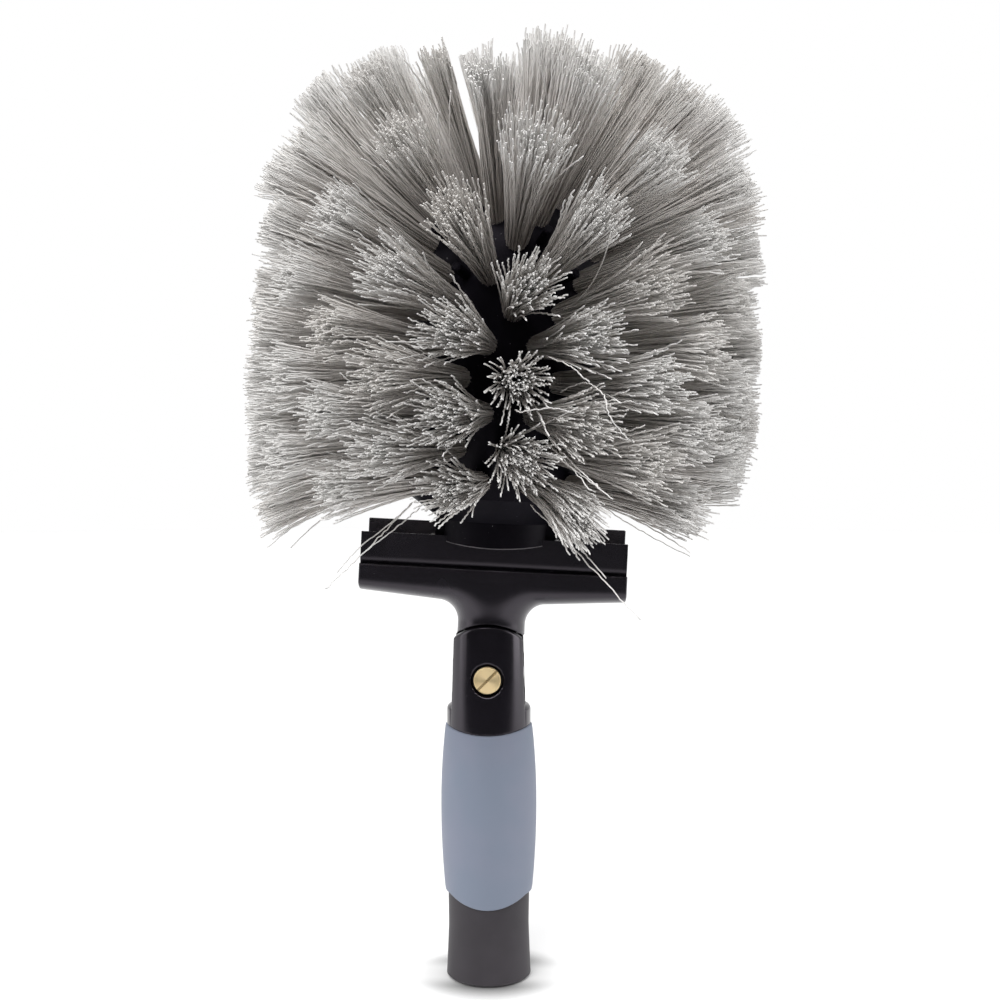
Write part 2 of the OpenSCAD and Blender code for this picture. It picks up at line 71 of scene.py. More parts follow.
def upright_box(node):
    """Lowest and highest corner of one of the head's nodes, with the head turned back upright."""
    places = [TO_UPRIGHT @ v.co for v in frame["nodes"][node].data.vertices]
    lowest = Vector(min(p[i] for p in places) for i in range(3))
    highest = Vector(max(p[i] for p in places) for i in range(3))
    return lowest, highest


GRIP_LOW, GRIP_HIGH = (Vector(corner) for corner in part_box("grip_sleeve"))
YOKE_LOW, YOKE_HIGH = (Vector(corner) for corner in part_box("yoke"))
SCREW_LOW = Vector(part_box("pivot_screw")[0])
HOLDER_LOW, HOLDER_HIGH = upright_box("head_holder")
BAR_LOW, BAR_HIGH = upright_box("brush_bar")
SHELL_LOW = upright_box("core_shell")[0]


class Field:
    """An output of a node that takes Python's operators, each of which adds a maths node."""

    def __init__(self, graph, socket):
        self.graph = graph
        self.socket = socket

    def other(self, name):
        """Another output of the same node."""
        return Field(self.graph, find_socket(self.socket.node.outputs, name))

    def maths(self, operation, *operands):
        return self.graph.maths(operation, self, *operands)

    def __add__(self, operand):
        return self.graph.maths("ADD", self, operand)

    def __radd__(self, operand):
        return self.graph.maths("ADD", operand, self)

    def __sub__(self, operand):
        return self.graph.maths("SUBTRACT", self, operand)

    def __rsub__(self, operand):
        return self.graph.maths("SUBTRACT", operand, self)

    def __mul__(self, operand):
        return self.graph.maths("MULTIPLY", self, operand)

    def __rmul__(self, operand):
        return self.graph.maths("MULTIPLY", operand, self)

    def __truediv__(self, operand):
        return self.graph.maths("DIVIDE", self, operand)

    def __rtruediv__(self, operand):
        return self.graph.maths("DIVIDE", operand, self)

    def __pow__(self, operand):
        return self.graph.maths("POWER", self, operand)

    def __neg__(self):
        return self.graph.maths("MULTIPLY", self, -1.0)

    def __abs__(self):
        return self.graph.maths("ABSOLUTE", self)

    def least(self, operand):
        return self.graph.maths("MINIMUM", self, operand)

    def most(self, operand):
        return self.graph.maths("MAXIMUM", self, operand)


def find_socket(sockets, key):
    """The socket at a place in the list, or the first one in use that has the name."""
    if isinstance(key, int):
        return sockets[key]
    named = [s for s in sockets if s.name == key]
    return next((s for s in named if s.enabled), named[0])


class Graph:
    """A node tree that is written as expressions."""

    def __init__(self, tree):
        self.tree = tree

    def add(self, kind, inputs=None, output=0, **settings):
        """Adds a node, sets it up and fills its sockets with values or links. Returns one output."""
        node = self.tree.nodes.new(kind)
        for name, value in settings.items():
            setattr(node, name, value)
        for key, value in (inputs or {}).items():
            socket = find_socket(node.inputs, key)
            if isinstance(value, Field):
                self.tree.links.new(value.socket, socket)
            else:
                socket.default_value = value
        return Field(self, find_socket(node.outputs, output)) if len(node.outputs) else node

    def maths(self, operation, *operands):
        return self.add("ShaderNodeMath", dict(enumerate(operands)), operation=operation)

    def vector(self, x, y, z):
        return self.add("ShaderNodeCombineXYZ", {"X": x, "Y": y, "Z": z})

    def parts(self, vector):
        """The three numbers of a vector."""
        x = self.add("ShaderNodeSeparateXYZ", {"Vector": vector}, "X")
        return x, x.other("Y"), x.other("Z")

    def ramp(self, value, low, high, to_low=0.0, to_high=1.0):
        """A smooth step from one value to another while the input goes from low to high."""
        limits = {"From Min": low, "From Max": high, "To Min": to_low, "To Max": to_high}
        return self.add("ShaderNodeMapRange", {"Value": value, **limits}, interpolation_type="SMOOTHSTEP")

    def blend(self, share, first, second):
        """The first colour where the share is 0, the second where it is 1."""
        return self.add(
            "ShaderNodeMix", {"Factor": share, "A": first, "B": second}, "Result", data_type="RGBA")

    def noise(self, place, scale, detail, roughness=0.5):
        inputs = {"Vector": place, "Scale": scale, "Detail": detail, "Roughness": roughness}
        return self.add("ShaderNodeTexNoise", inputs, "Fac")

    def chance(self, low, high, key, seed):
        """A random number for each value of the key."""
        inputs = {"Min": low, "Max": high, "ID": key, "Seed": seed}
        return self.add("FunctionNodeRandomValue", inputs, "Value", data_type="FLOAT")

    def straight_line(self, count):
        """A line of evenly spaced points, to be bent."""
        line = self.add("GeometryNodeCurvePrimitiveLine", {"End": (0.0, 0.0, 1.0)}, mode="POINTS")
        return self.add("GeometryNodeResampleCurve", {"Curve": line, "Count": count})

    def tube(self, line, places, uneven, radius, sides):
        """Closed tubes along lines that are bent to the places."""
        bent = self.add("GeometryNodeSetPosition", {"Geometry": line, "Position": places})
        sized = self.add("GeometryNodeSetCurveRadius", {"Curve": bent, "Radius": uneven})
        outline = self.add(
            "GeometryNodeCurvePrimitiveCircle", {"Resolution": sides, "Radius": radius}, mode="RADIUS")
        return self.add(
            "GeometryNodeCurveToMesh", {"Curve": sized, "Profile Curve": outline, "Fill Caps": True})


def opaque(colour):
    return (*colour, 1.0)


def shaded(colour, share):
    """The colour made lighter or darker by a factor."""
    return (*(min(1.0, c * share) for c in colour), 1.0)


# Settings


def number_property(title, about, default, **more):
    return FloatProperty(name=title, description=about, default=default, **more)


def length_property(title, about, default):
    return number_property(title, about, default, unit="LENGTH", precision=4)


def colour_property(title, about, default):
    return FloatVectorProperty(name=title, description=about, subtype="COLOR", min=0, max=1, default=default)


class StageSettings(bpy.types.PropertyGroup):
    """The camera, the floor and the light"""

    camera_place: FloatVectorProperty(
        name="Camera Place", description="Where the camera stands", size=3, subtype="XYZ", unit="LENGTH",
        default=(0.0240, -0.5645, 0.203))
    camera_turn: number_property(
        "Camera Turn", "How far the camera looks to the left of the object's front", math.radians(2),
        subtype="ANGLE")
    camera_shift: number_property(
        "Camera Shift", "How far the frame lies below the camera's level, as a share of it", 0.055)
    camera_lens: number_property("Lens", "Focal length of the camera in millimetres", 52.88)
    floor_radius: length_property("Floor Radius", "Radius of the floor", 3.0)
    floor_colour: colour_property("Floor Colour", "Colour of the floor", (0.8, 0.8, 0.8))
    floor_glow: number_property("Floor Glow", "What is added to the floor so that it shows white", 0.1)
    shadow_reach: length_property(
        "Shadow Reach", "How far the soft shadow reaches where the object stands on the floor", 16 * MM)
    surroundings: number_property("Surroundings", "Brightness of the white walls round the object", 0.95)
    key_power: number_property("Key Light", "Power of the light above the camera", 11.0, unit="POWER")
    left_power: number_property("Left Light", "Power of the light at the left", 2.0, unit="POWER")
    right_power: number_property("Right Light", "Power of the light at the right", 3.4, unit="POWER")


class HandleSettings(bpy.types.PropertyGroup):
    """Sizes and finishes of the handle"""

    ear_radius: length_property("Ear Radius", "Radius of the ears' tops about the pivot", 20.1 * MM)
    slot_width: length_property("Slot Width", "Width of the slot between the ears", 14 * MM)
    slot_floor: length_property("Slot Floor", "Radius of the slot's floor about the pivot", 17.2 * MM)
    recess_width: length_property("Recess Width", "Diameter of the recess round the screw", 12.2 * MM)
    yoke_edge: length_property("Yoke Edge", "Radius of the yoke's rounded edges", 0.6 * MM)
    grip_edge: length_property("Grip Edge", "Radius of the grip's rounded edges", 0.7 * MM)
    tube_colour: colour_property("Tube Colour", "Colour of the socket tube", (0.033, 0.029, 0.034))
    grip_colour: colour_property("Grip Colour", "Colour of the rubber grip", (0.182, 0.212, 0.275))
    brass_colour: colour_property("Brass Colour", "Colour of the pivot screw", (0.98, 0.79, 0.47))


class HeadSettings(bpy.types.PropertyGroup):
    """Sizes and finishes of the head's moulded parts"""

    wing_end: length_property("Wing End", "Height of the wings at their ends", 10.9 * MM)
    wing_middle: length_property("Wing Middle", "Height of the wings at the middle", 14.8 * MM)
    wing_lip: length_property("Wing Lip", "Height of the upright lip above the belly", 4.6 * MM)
    channel_depth: length_property("Channel Depth", "Depth of the channel in the wings", 6 * MM)
    stem_width: length_property("Stem Width", "Diameter of the round stem", 25.8 * MM)
    flare: length_property("Flare", "Radius of the blend between the stem and the wings", 7.5 * MM)
    bar_wall: length_property("Bar Wall", "Thickness of the bar's walls", 2 * MM)
    bar_front: length_property("Bar Front", "Height of the bar's front wall", 17.8 * MM)
    plastic_colour: colour_property("Plastic Colour", "Colour of the yoke", (0.0042, 0.0038, 0.0055))
    # Painted light: the holder and the bar are the same black plastic as the yoke, given a lighter colour for
    # the light they catch
    painted_light_satin_colour: colour_property("Holder Colour", "Colour of the holder and the bar", (0.009, 0.0085, 0.011))
    core_colour: colour_property("Core Colour", "Colour of the core", (0.004, 0.0036, 0.0055))
    peg_width: length_property("Peg Width", "Diameter of the pegs between the tufts", 3.8 * MM)
    peg_length: length_property("Peg Length", "Length of the pegs", 9 * MM)


class BristleSettings(bpy.types.PropertyGroup):
    """The filaments"""

    filaments: IntProperty(
        name="Filaments", description="Filaments in each tuft", default=174, min=20, max=190)
    width: length_property("Width", "Diameter of a filament", 0.6 * MM)
    bundle: length_property("Bundle", "Radius of a tuft where it leaves the core", 3.9 * MM)
    spread: number_property(
        "Spread", "Angle from a tuft's middle to its edge", math.radians(10.6), subtype="ANGLE")
    crimp: length_property("Crimp", "How far the waves stand out at the tips", 0.2 * MM)
    ragged: number_property("Raggedness", "Share by which the filaments differ in length", 0.035)
    seed: IntProperty(name="Seed", description="Seed of what is random in the filaments", default=7)
    light_colour: colour_property("Light Filaments", "Colour of the lightest filaments", (0.86, 0.85, 0.835))
    dark_colour: colour_property("Dark Filaments", "Colour of the darkest filaments", (0.78, 0.765, 0.75))
    # The shaft and root colours are painted shade, darker along each filament towards the core
    painted_shade_shaft_colour: colour_property("Filament Shafts", "Colour half way along", (0.74, 0.705, 0.675))
    painted_shade_root_colour: colour_property("Filament Roots", "Colour near the core", (0.40, 0.365, 0.34))
    worn_colour: colour_property("Worn Filaments", "Colour that some tufts are worn to", (0.62, 0.565, 0.51))


# Finishes

FINISHES = {}


class Finish(Graph):
    """A material with one Principled shader, whose inputs are given by name."""

    def __init__(self, name):
        self.material = bpy.data.materials.new(f"detailed_{name}")
        self.material.use_nodes = True
        FINISHES[name] = self.material
        super().__init__(self.material.node_tree)
        self.tree.nodes.clear()

    def place(self):
        return self.add("ShaderNodeTexCoord", output="Object")

    def stretch(self, place, scale, turn=(0.0, 0.0, 0.0)):
        return self.add("ShaderNodeMapping", {"Vector": place, "Rotation": turn, "Scale": scale})

    def attribute(self, name):
        return self.add("ShaderNodeAttribute", output="Fac", attribute_name=name)

    def bump(self, height, distance, strength):
        inputs = {"Height": height, "Distance": distance, "Strength": strength}
        return self.add("ShaderNodeBump", inputs, "Normal")

    def done(self, **inputs):
        named = {name.replace("_", " "): value for name, value in inputs.items()}
        shader = self.add("ShaderNodeBsdfPrincipled", named)
        self.add("ShaderNodeOutputMaterial", {"Surface": shader})
        return self.material


def tube_plastic(settings):
    """Dark grey moulded plastic with a fine matte grain and light scuffs near the mouth."""
    finish = Finish("tube_plastic")
    place = finish.place()
    height = finish.parts(place)[2]
    grain = finish.noise(place, 2600.0, 2.0)
    cloud = finish.noise(place, 60.0, 3.0)
    scuffs = finish.ramp(finish.noise(place, 420.0, 4.0, 0.7), 0.62, 0.74)
    near_mouth = finish.ramp(height, 0.004, 0.0)
    tone = finish.ramp(cloud, 0.3, 0.7)
    colour = finish.blend(tone, shaded(settings.tube_colour, 0.9), shaded(settings.tube_colour, 1.12))
    colour = finish.blend(near_mouth * scuffs * 0.5, colour, shaded(settings.tube_colour, 2.2))
    return finish.done(
        Base_Color=colour,
        Roughness=0.5 + cloud * 0.1,
        Specular_IOR_Level=0.3,
        Normal=finish.bump(grain, 0.00002, 0.4),
    )


def grip_rubber(settings):
    """Soft grey-blue rubber: matte, very fine grain, faint clouds of warmer and cooler grey."""
    finish = Finish("grip_rubber")
    place = finish.place()
    cloud = finish.ramp(finish.noise(place, 38.0, 2.0), 0.35, 0.65)
    grain = finish.noise(place, 3200.0, 2.0)
    cool = shaded(settings.grip_colour, 0.97)
    warm = opaque([c * f for c, f in zip(settings.grip_colour, (1.06, 1.0, 1.0))])
    return finish.done(
        Base_Color=finish.blend(cloud, cool, warm),
        Roughness=0.66 + grain * 0.12,
        Specular_IOR_Level=0.35,
        Sheen_Weight=0.12,
        Sheen_Roughness=0.5,
        Normal=finish.bump(grain, 0.00002, 0.3),
    )


def moulded_plastic(name, colour, roughness, gloss=0.5, dust=0.0):
    """Black moulded plastic with slow waves in its gloss, hair scratches and, where asked, specks of dust."""
    finish = Finish(name)
    place = finish.place()
    cloud = finish.noise(place, 55.0, 3.0, 0.6)
    waves = finish.noise(place, 90.0, 1.0)
    drawn_out = finish.stretch(place, (110.0, 1400.0, 900.0), (0.4, 0.5, 0.3))
    scratches = finish.ramp(finish.noise(drawn_out, 1.0, 2.0, 0.5), 0.74, 0.79)
    base = finish.blend(finish.ramp(cloud, 0.35, 0.7), opaque(colour), shaded(colour, 1.4))
    inputs = {
        "Base_Color": finish.blend(scratches * 0.15, base, (0.06, 0.06, 0.065, 1.0)),
        "Roughness": roughness * 0.75 + cloud * roughness * 0.5 + scratches * 0.15,
        "Specular_IOR_Level": gloss,
        "Specular_Tint": (0.97, 0.88, 1.0, 1.0),
        "Normal": finish.bump(waves, 0.00012, 0.25),
    }
    if dust:
        specks = finish.ramp(finish.noise(place, 900.0, 2.0, 0.6), 0.74, 0.78)
        inputs["Base_Color"] = finish.blend(specks * dust, inputs["Base_Color"], (0.35, 0.35, 0.36, 1.0))
        inputs["Roughness"] = inputs["Roughness"] + specks * dust * 0.4
    return finish.done(**inputs)


def turned_brass(settings):
    """Brass with rings left by the lathe, a painted reflection that darkens fans to the left and right of its
    middle, and painted shade in the slot.
    """
    finish = Finish("brass")
    place = finish.place()
    x, y, z = finish.parts(place)
    up = z - PIVOT.z
    distance = (x * x + up * up).maths("SQRT").most(0.0001)
    rings = (distance * (math.tau / (0.22 * MM))).maths("SINE")
    # Painted reflection: fans to the left and right of the middle are darkened, as the sheen of turned brass
    # would look
    fans = (abs(x) / distance) ** 5.0
    mottled = 0.5 + finish.noise(place, 500.0, 3.0, 0.6)
    painted_reflection_fans = (fans * mottled * 0.65).least(1.0)
    colour = finish.blend(painted_reflection_fans, opaque(settings.brass_colour), shaded(settings.brass_colour, 0.42))
    # Painted shade: the brass darkens deeper into the slot
    painted_slot_shade = finish.ramp(y, SCREW_LOW.y + 0.1 * MM, SCREW_LOW.y + 0.5 * MM, 0.0, 0.42)
    colour = finish.blend(painted_slot_shade, colour, shaded(settings.brass_colour, 0.22))
    return finish.done(
        Base_Color=colour,
        Metallic=1.0,
        Roughness=0.55 + painted_reflection_fans * 0.15,
        Normal=finish.bump(rings + finish.noise(place, 900.0, 2.0) * 3.0, 0.00001, 0.5),
    )


def plated_steel():
    """Zinc-plated steel with fine brushing."""
    finish = Finish("steel")
    place = finish.place()
    brushing = finish.noise(finish.stretch(place, (300.0, 300.0, 4000.0)), 1.0, 3.0)
    return finish.done(
        Base_Color=finish.blend(brushing, (0.52, 0.52, 0.54, 1.0), (0.68, 0.68, 0.7, 1.0)),
        Metallic=1.0,
        Roughness=0.24 + brushing * 0.2,
        Normal=finish.bump(brushing, 0.00001, 0.4),
    )


def dark_steel():
    """Steel that has gone dull and almost black."""
    finish = Finish("dark_steel")
    marks = finish.noise(finish.place(), 700.0, 3.0)
    return finish.done(
        Base_Color=finish.blend(marks, (0.012, 0.011, 0.012, 1.0), (0.03, 0.028, 0.028, 1.0)),
        Metallic=1.0,
        Roughness=0.5 + marks * 0.2,
    )


def washer_plastic():
    """Grey plastic, slightly marked where it rubs."""
    finish = Finish("washer_plastic")
    place = finish.place()
    marks = finish.noise(place, 500.0, 4.0, 0.65)
    return finish.done(
        Base_Color=finish.blend(marks, (0.06, 0.06, 0.06, 1.0), (0.12, 0.12, 0.12, 1.0)),
        Roughness=0.4 + marks * 0.25,
        Normal=finish.bump(marks, 0.00002, 0.4),
    )


def filament_finish(settings):
    """Light grey filaments with their own shades, in tufts with their own tones, with painted shade that
    darkens the shafts and, more, the roots near the core.
    """
    finish = Finish("filament")
    shade = finish.attribute("shade")
    along = finish.attribute("along")
    tone = finish.attribute("tone")
    own = finish.blend(shade, opaque(settings.dark_colour), opaque(settings.light_colour))
    warm = finish.blend(0.5, own, opaque(settings.worn_colour))
    own = finish.blend(finish.ramp(tone, 0.55, 1.0, 0.0, 0.5), own, warm)
    # Painted shade: the filament darkens from its bright tip towards its shaft
    painted_shaft_shade = finish.ramp(along, 0.98, 0.72, 0.0, 0.75)
    own = finish.blend(painted_shaft_shade, own, opaque(settings.painted_shade_shaft_colour))
    # Painted shade: darker still near the core, where the tufts shade their roots
    root = finish.ramp(along, 0.6, 0.05, 0.0, 0.85)
    return finish.done(
        Base_Color=finish.blend(root, own, opaque(settings.painted_shade_root_colour)),
        Roughness=0.6 - shade * 0.1,
        Specular_IOR_Level=0.22,
    )


def make_finishes(scene):
    handle = scene.cobweb_handle
    head = scene.cobweb_head
    tube_plastic(handle)
    grip_rubber(handle)
    turned_brass(handle)
    moulded_plastic("black_plastic", head.plastic_colour, 0.15)
    # Same black plastic as the yoke with a softer gloss; its lighter colour is painted light
    moulded_plastic("satin_plastic", head.painted_light_satin_colour, 0.26)
    moulded_plastic("core_plastic", head.core_colour, 0.5, gloss=0.07, dust=0.7)
    # Light grey for the foot's seam: a painted highlight along its edge
    moulded_plastic("torn_plastic", (0.11, 0.105, 0.11), 0.5)
    plated_steel()
    dark_steel()
    washer_plastic()
    filament_finish(scene.cobweb_bristles)


# Meshes


def paint_nodes(finishes):
    """Gives CAD nodes that stay in view their materials."""
    for node, finish in finishes.items():
        for slot in frame["nodes"][node].material_slots:
            slot.link = "OBJECT"
            slot.material = FINISHES[finish]


def new_piece(name, data):
    """A new object in the scene, from a mesh, a lamp or a camera."""
    piece = bpy.data.objects.new(name, data)
    bpy.context.scene.collection.objects.link(piece)
    return piece


def head_piece(name, mesh, finish, *nodes, slot=None):
    """A piece that is drawn upright and leans with the head. It may stand for CAD nodes."""
    mesh.transform(TO_LEAN)
    return dressed(name, mesh, "head", finish, *nodes, slot=slot)


def dressed(name, mesh, body, finish, *nodes, slot=None):
    """A piece on a body, in one finish. It may stand for CAD nodes."""
    if not mesh.materials:
        mesh.materials.append(FINISHES[finish])
    piece = new_piece(name, mesh)
    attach(piece, body)
    if nodes:
        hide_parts(*nodes)
    slot or finish
    return piece


def from_nodes(tree, values):
    """The plain mesh that a geometry node tree makes from these values of its named inputs."""
    maker = new_piece("maker", bpy.data.meshes.new("maker"))
    modifier = maker.modifiers.new("Nodes", "NODES")
    modifier.node_group = tree
    for item in tree.interface.items_tree:
        if item.item_type == "SOCKET" and item.in_out == "INPUT" and item.name in values:
            modifier[item.identifier] = values[item.name]
    made = maker.evaluated_get(bpy.context.evaluated_depsgraph_get())
    mesh = bpy.data.meshes.new_from_object(made)
    maker.modifiers.remove(modifier)
    bpy.data.objects.remove(maker)
    return mesh


SOCKET_KINDS = {int: "NodeSocketInt", float: "NodeSocketFloat", bpy.types.Material: "NodeSocketMaterial"}


def new_tree(name, values):
    """A geometry node tree and its inputs as fields, by name. The values give their kinds and defaults."""
    tree = bpy.data.node_groups.new(name, "GeometryNodeTree")
    tree.is_modifier = True
    for title, value in values.items():
        socket = tree.interface.new_socket(title, in_out="INPUT", socket_type=SOCKET_KINDS[type(value)])
        socket.default_value = value
    tree.interface.new_socket("Geometry", in_out="OUTPUT", socket_type="NodeSocketGeometry")
    graph = Graph(tree)
    group = tree.nodes.new("NodeGroupInput")
    return graph, {title: Field(graph, group.outputs[title]) for title in values}


def end_tree(graph, geometry, given):
    """Ends a tree as real mesh with the material that it was given."""
    smooth = graph.add("GeometryNodeSetShadeSmooth", {"Geometry": geometry})
    real = graph.add("GeometryNodeRealizeInstances", {"Geometry": smooth})
    painted = graph.add("GeometryNodeSetMaterial", {"Geometry": real, "Material": given["Finish"]})
    output = graph.tree.nodes.new("NodeGroupOutput")
    graph.tree.links.new(painted.socket, output.inputs[0])
    return graph.tree


def lathe(outline, sides):
    """A mesh turned from an outline of (radius, height) round the upright axis."""
    turns = [math.tau * i / sides for i in range(sides)]
    shape = bmesh.new()
    rings = []
    for radius, height in outline:
        if radius < 1e-6:
            rings.append([shape.verts.new((0.0, 0.0, height))])
            continue
        rings.append([shape.verts.new((radius * math.cos(a), radius * math.sin(a), height)) for a in turns])
    for low, high in zip(rings, rings[1:]):
        for i in range(sides):
            after = (i + 1) % sides
            corners = [low[i % len(low)], low[after % len(low)], high[after % len(high)], high[i % len(high)]]
            unique = list(dict.fromkeys(corners))
            if len(unique) > 2:
                shape.faces.new(unique)
    return smooth_mesh("lathe", shape)


def smooth_mesh(name, shape):
    """Turns faces outwards, ends the bmesh and gives a smooth mesh."""
    bmesh.ops.recalc_face_normals(shape, faces=shape.faces)
    mesh = bpy.data.meshes.new(name)
    shape.to_mesh(mesh)
    shape.free()
    mesh.shade_smooth()
    return mesh


# Carved solids: a distance is below zero inside a solid and above it outside

CARVE_MARGIN = 1.3 * MM
SOFT_EDGE = 0.3 * MM


def join(first, second, blend=0.0):
    """Both solids, with a fillet of the blend's radius where they meet."""
    if not blend:
        return first.least(second)
    near, far = (blend - first).most(0.0), (blend - second).most(0.0)
    return first.least(second).most(blend) - (near * near + far * far).maths("SQRT")


def meet(first, second, blend=0.0):
    """What two solids share, with its edge rounded to the blend's radius."""
    if not blend:
        return first.most(second)
    near, far = (first + blend).most(0.0), (second + blend).most(0.0)
    return first.most(second).least(-blend) + (near * near + far * far).maths("SQRT")


def cut(solid, tool, blend=0.0):
    """The solid without what the tool fills, with the cut's edge rounded to the blend's radius."""
    return meet(solid, -tool, blend)


def reach(*sides):
    """Distance from the axis or point where every side is zero."""
    total = sides[0] * sides[0]
    for side in sides[1:]:
        total = total + side * side
    return total.maths("SQRT")


def carve(name, values, box, step, solid):
    """The mesh of a solid that a function gives as a distance, sampled at steps through a box."""
    graph, given = new_tree(name, values)
    distance = solid(given, *graph.parts(graph.add("GeometryNodeInputPosition")))
    margin = Vector.Fill(3, CARVE_MARGIN)
    low, high = box[0] - margin, box[1] + margin
    counts = [math.ceil((b - a) / step) + 1 for a, b in zip(low, high)]
    corner = tuple(a + (count - 1) * step for a, count in zip(low, counts))
    inputs = {"Density": 1.0 - distance / step, "Background": 0.0, "Min": tuple(low), "Max": corner}
    inputs.update((f"Resolution {axis}", count) for axis, count in zip("XYZ", counts))
    volume = graph.add("GeometryNodeVolumeCube", inputs)
    surface = graph.add(
        "GeometryNodeVolumeToMesh", {"Volume": volume, "Threshold": 1.0}, resolution_mode="GRID")
    shape = bmesh.new()
    shape.from_mesh(from_nodes(end_tree(graph, surface, given), values))
    return smooth_mesh(name, shape)


# Handle


class GRIP:
    """Sizes of the grip"""

    low_h = 32.7 * MM
    dip_low = low_h - GRIP_LOW.z
    dip_half = 14.2 * MM
    dip_top = 2.4 * MM
    widest = GRIP_HIGH.x
    low_r = 16.2 * MM
    top_r = 16.6 * MM
    seat_r = 14.4 * MM
    middle = low_h + 0.53 * (GRIP_HIGH.z - low_h)
    sides = 160
    levels = 48
    corner_steps = 5


def grip_radius(height):
    """The grip bulges from its thickest height to each end along a parabola."""
    if height < GRIP.middle:
        share = (GRIP.middle - height) / (GRIP.middle - GRIP_LOW.z)
        return GRIP.widest - (GRIP.widest - GRIP.low_r) * share ** 2
    share = (height - GRIP.middle) / (GRIP_HIGH.z - GRIP.middle)
    return GRIP.widest - (GRIP.widest - GRIP.top_r) * share ** 2


def arc_height(across, half, rise):
    """Height of a round arc above its lowest point, at a distance from its middle."""
    radius = (half ** 2 + rise ** 2) / (2 * rise)
    return radius - math.sqrt(max(0.0, radius ** 2 - across ** 2))


def grip_edges(angle):
    """Heights of the grip's lower and upper edge at an angle round the handle."""
    share = abs(math.cos(angle))
    low = GRIP.low_h
    if GRIP.low_r * share < GRIP.dip_half:
        low = GRIP_LOW.z + arc_height(GRIP.low_r * share, GRIP.dip_half, GRIP.dip_low)
    high = GRIP_HIGH.z - GRIP.dip_top + arc_height(GRIP.top_r * share, GRIP.top_r, GRIP.dip_top)
    return low, high


def make_grip(edge):
    """The rubber sleeve, with waved ends whose edges are rounded."""
    shape = bmesh.new()
    columns = []
    corner = [math.pi / 2 * i / GRIP.corner_steps for i in range(GRIP.corner_steps + 1)]
    for i in range(GRIP.sides):
        angle = math.tau * i / GRIP.sides
        low, high = grip_edges(angle)
        outline = [(GRIP.seat_r, low)]
        outline += [
            (grip_radius(low) - edge * (1 - math.sin(a)), low + edge * (1 - math.cos(a))) for a in corner]
        for level in range(1, GRIP.levels):
            height = low + edge + (high - low - 2 * edge) * level / GRIP.levels
            outline.append((grip_radius(height), height))
        outline += [
            (grip_radius(high) - edge * (1 - math.cos(a)), high - edge * (1 - math.sin(a))) for a in corner]
        outline.append((GRIP.seat_r, high))
        columns.append([shape.verts.new((r * math.cos(angle), r * math.sin(angle), z)) for r, z in outline])
    for first, second in zip(columns, columns[1:] + columns[:1]):
        for k in range(len(first)):
            after = (k + 1) % len(first)
            shape.faces.new((first[k], second[k], second[after], first[after]))
    dressed("rubber_grip", smooth_mesh("rubber_grip", shape), "handle", "grip_rubber", "grip_sleeve")


class YOKE:
    """Sizes of the yoke that its settings don't give"""

    collar_r = YOKE_HIGH.x
    foot = 94.0 * MM
    ear_top_r = 15 * MM
    tube_top = 88 * MM
    seat_r = 14.4 * MM
    spigot_r = 11.96 * MM
    spigot_end = 70 * MM
    horn_top = 104 * MM
    horn_edge = 2.2 * MM
    horn_gap = 0.2 * MM
    ear_face = 15.54 * MM
    pin_height = 79 * MM
    pin_r = 2.04 * MM
    recess_floor = 12.24 * MM
    recess_bevel = 0.3 * MM
    bore_r = 3.05 * MM
    bore_edge = 0.2 * MM
    nut_seat = 11.04 * MM
    nut_half = 5.04 * MM
    step = 0.4 * MM


def yoke_field(given, x, y, z):
    """A round body that tapers into two ears, cut for the head, the screw, the nut and the grip."""
    up = z - PIVOT.z
    about = reach(x, y)
    ear_top = PIVOT.z + given["Ear Radius"]
    taper = ((z - YOKE.foot) / (ear_top - YOKE.foot)).most(0.0)
    outside = about - YOKE.collar_r + taper * (YOKE.collar_r - YOKE.ear_top_r)
    crown = reach(x, up.most(0.0)) - given["Ear Radius"]
    round_pivot = reach(x, up)
    ears = meet(outside, crown, given["Edge"])
    beside_slot = abs(y) - given["Slot Width"] / 2.0
    solid = cut(ears, meet(beside_slot, YOKE.foot - z), given["Edge"])
    horns = meet(about - YOKE.collar_r, z - YOKE.horn_top, YOKE.horn_edge)
    solid = join(solid, meet(horns, beside_slot - YOKE.horn_gap))
    solid = meet(solid, YOKE.tube_top - z)
    solid = join(solid, meet(about - YOKE.spigot_r, YOKE.spigot_end - z).most(z - YOKE.foot))
    solid = cut(solid, meet(round_pivot - given["Slot Floor"], beside_slot), SOFT_EDGE)
    edge_arc = (GRIP.top_r ** 2 + GRIP.dip_top ** 2) / (2 * GRIP.dip_top)
    under_grip = edge_arc - reach(x, z - (YOKE.foot + edge_arc))
    solid = cut(solid, meet(under_grip, YOKE.seat_r - about))
    widened = (-y - (YOKE.ear_face - YOKE.recess_bevel)).most(0.0)
    recess = (round_pivot - given["Recess Width"] / 2.0 - widened).most(y + YOKE.recess_floor)
    solid = cut(solid, recess, SOFT_EDGE)
    solid = cut(solid, round_pivot - YOKE.bore_r, YOKE.bore_edge)
    solid = cut(solid, reach(y, z - YOKE.pin_height) - YOKE.pin_r)
    slanted = abs(x) * math.cos(math.pi / 6) + abs(up) * math.sin(math.pi / 6)
    nut = slanted.most(abs(up)) - YOKE.nut_half
    return cut(solid, nut.most(YOKE.nut_seat - y), SOFT_EDGE)


def make_yoke(settings):
    mesh = carve("glossy_yoke", {
        "Ear Radius": settings.ear_radius,
        "Slot Width": settings.slot_width,
        "Slot Floor": settings.slot_floor,
        "Recess Width": settings.recess_width,
        "Edge": settings.yoke_edge,
        "Finish": FINISHES["black_plastic"],
    }, (YOKE_LOW, YOKE_HIGH), YOKE.step, yoke_field)
    dressed("glossy_yoke", mesh, "handle", "black_plastic", "yoke")


SCREW_EDGE = 0.12 * MM


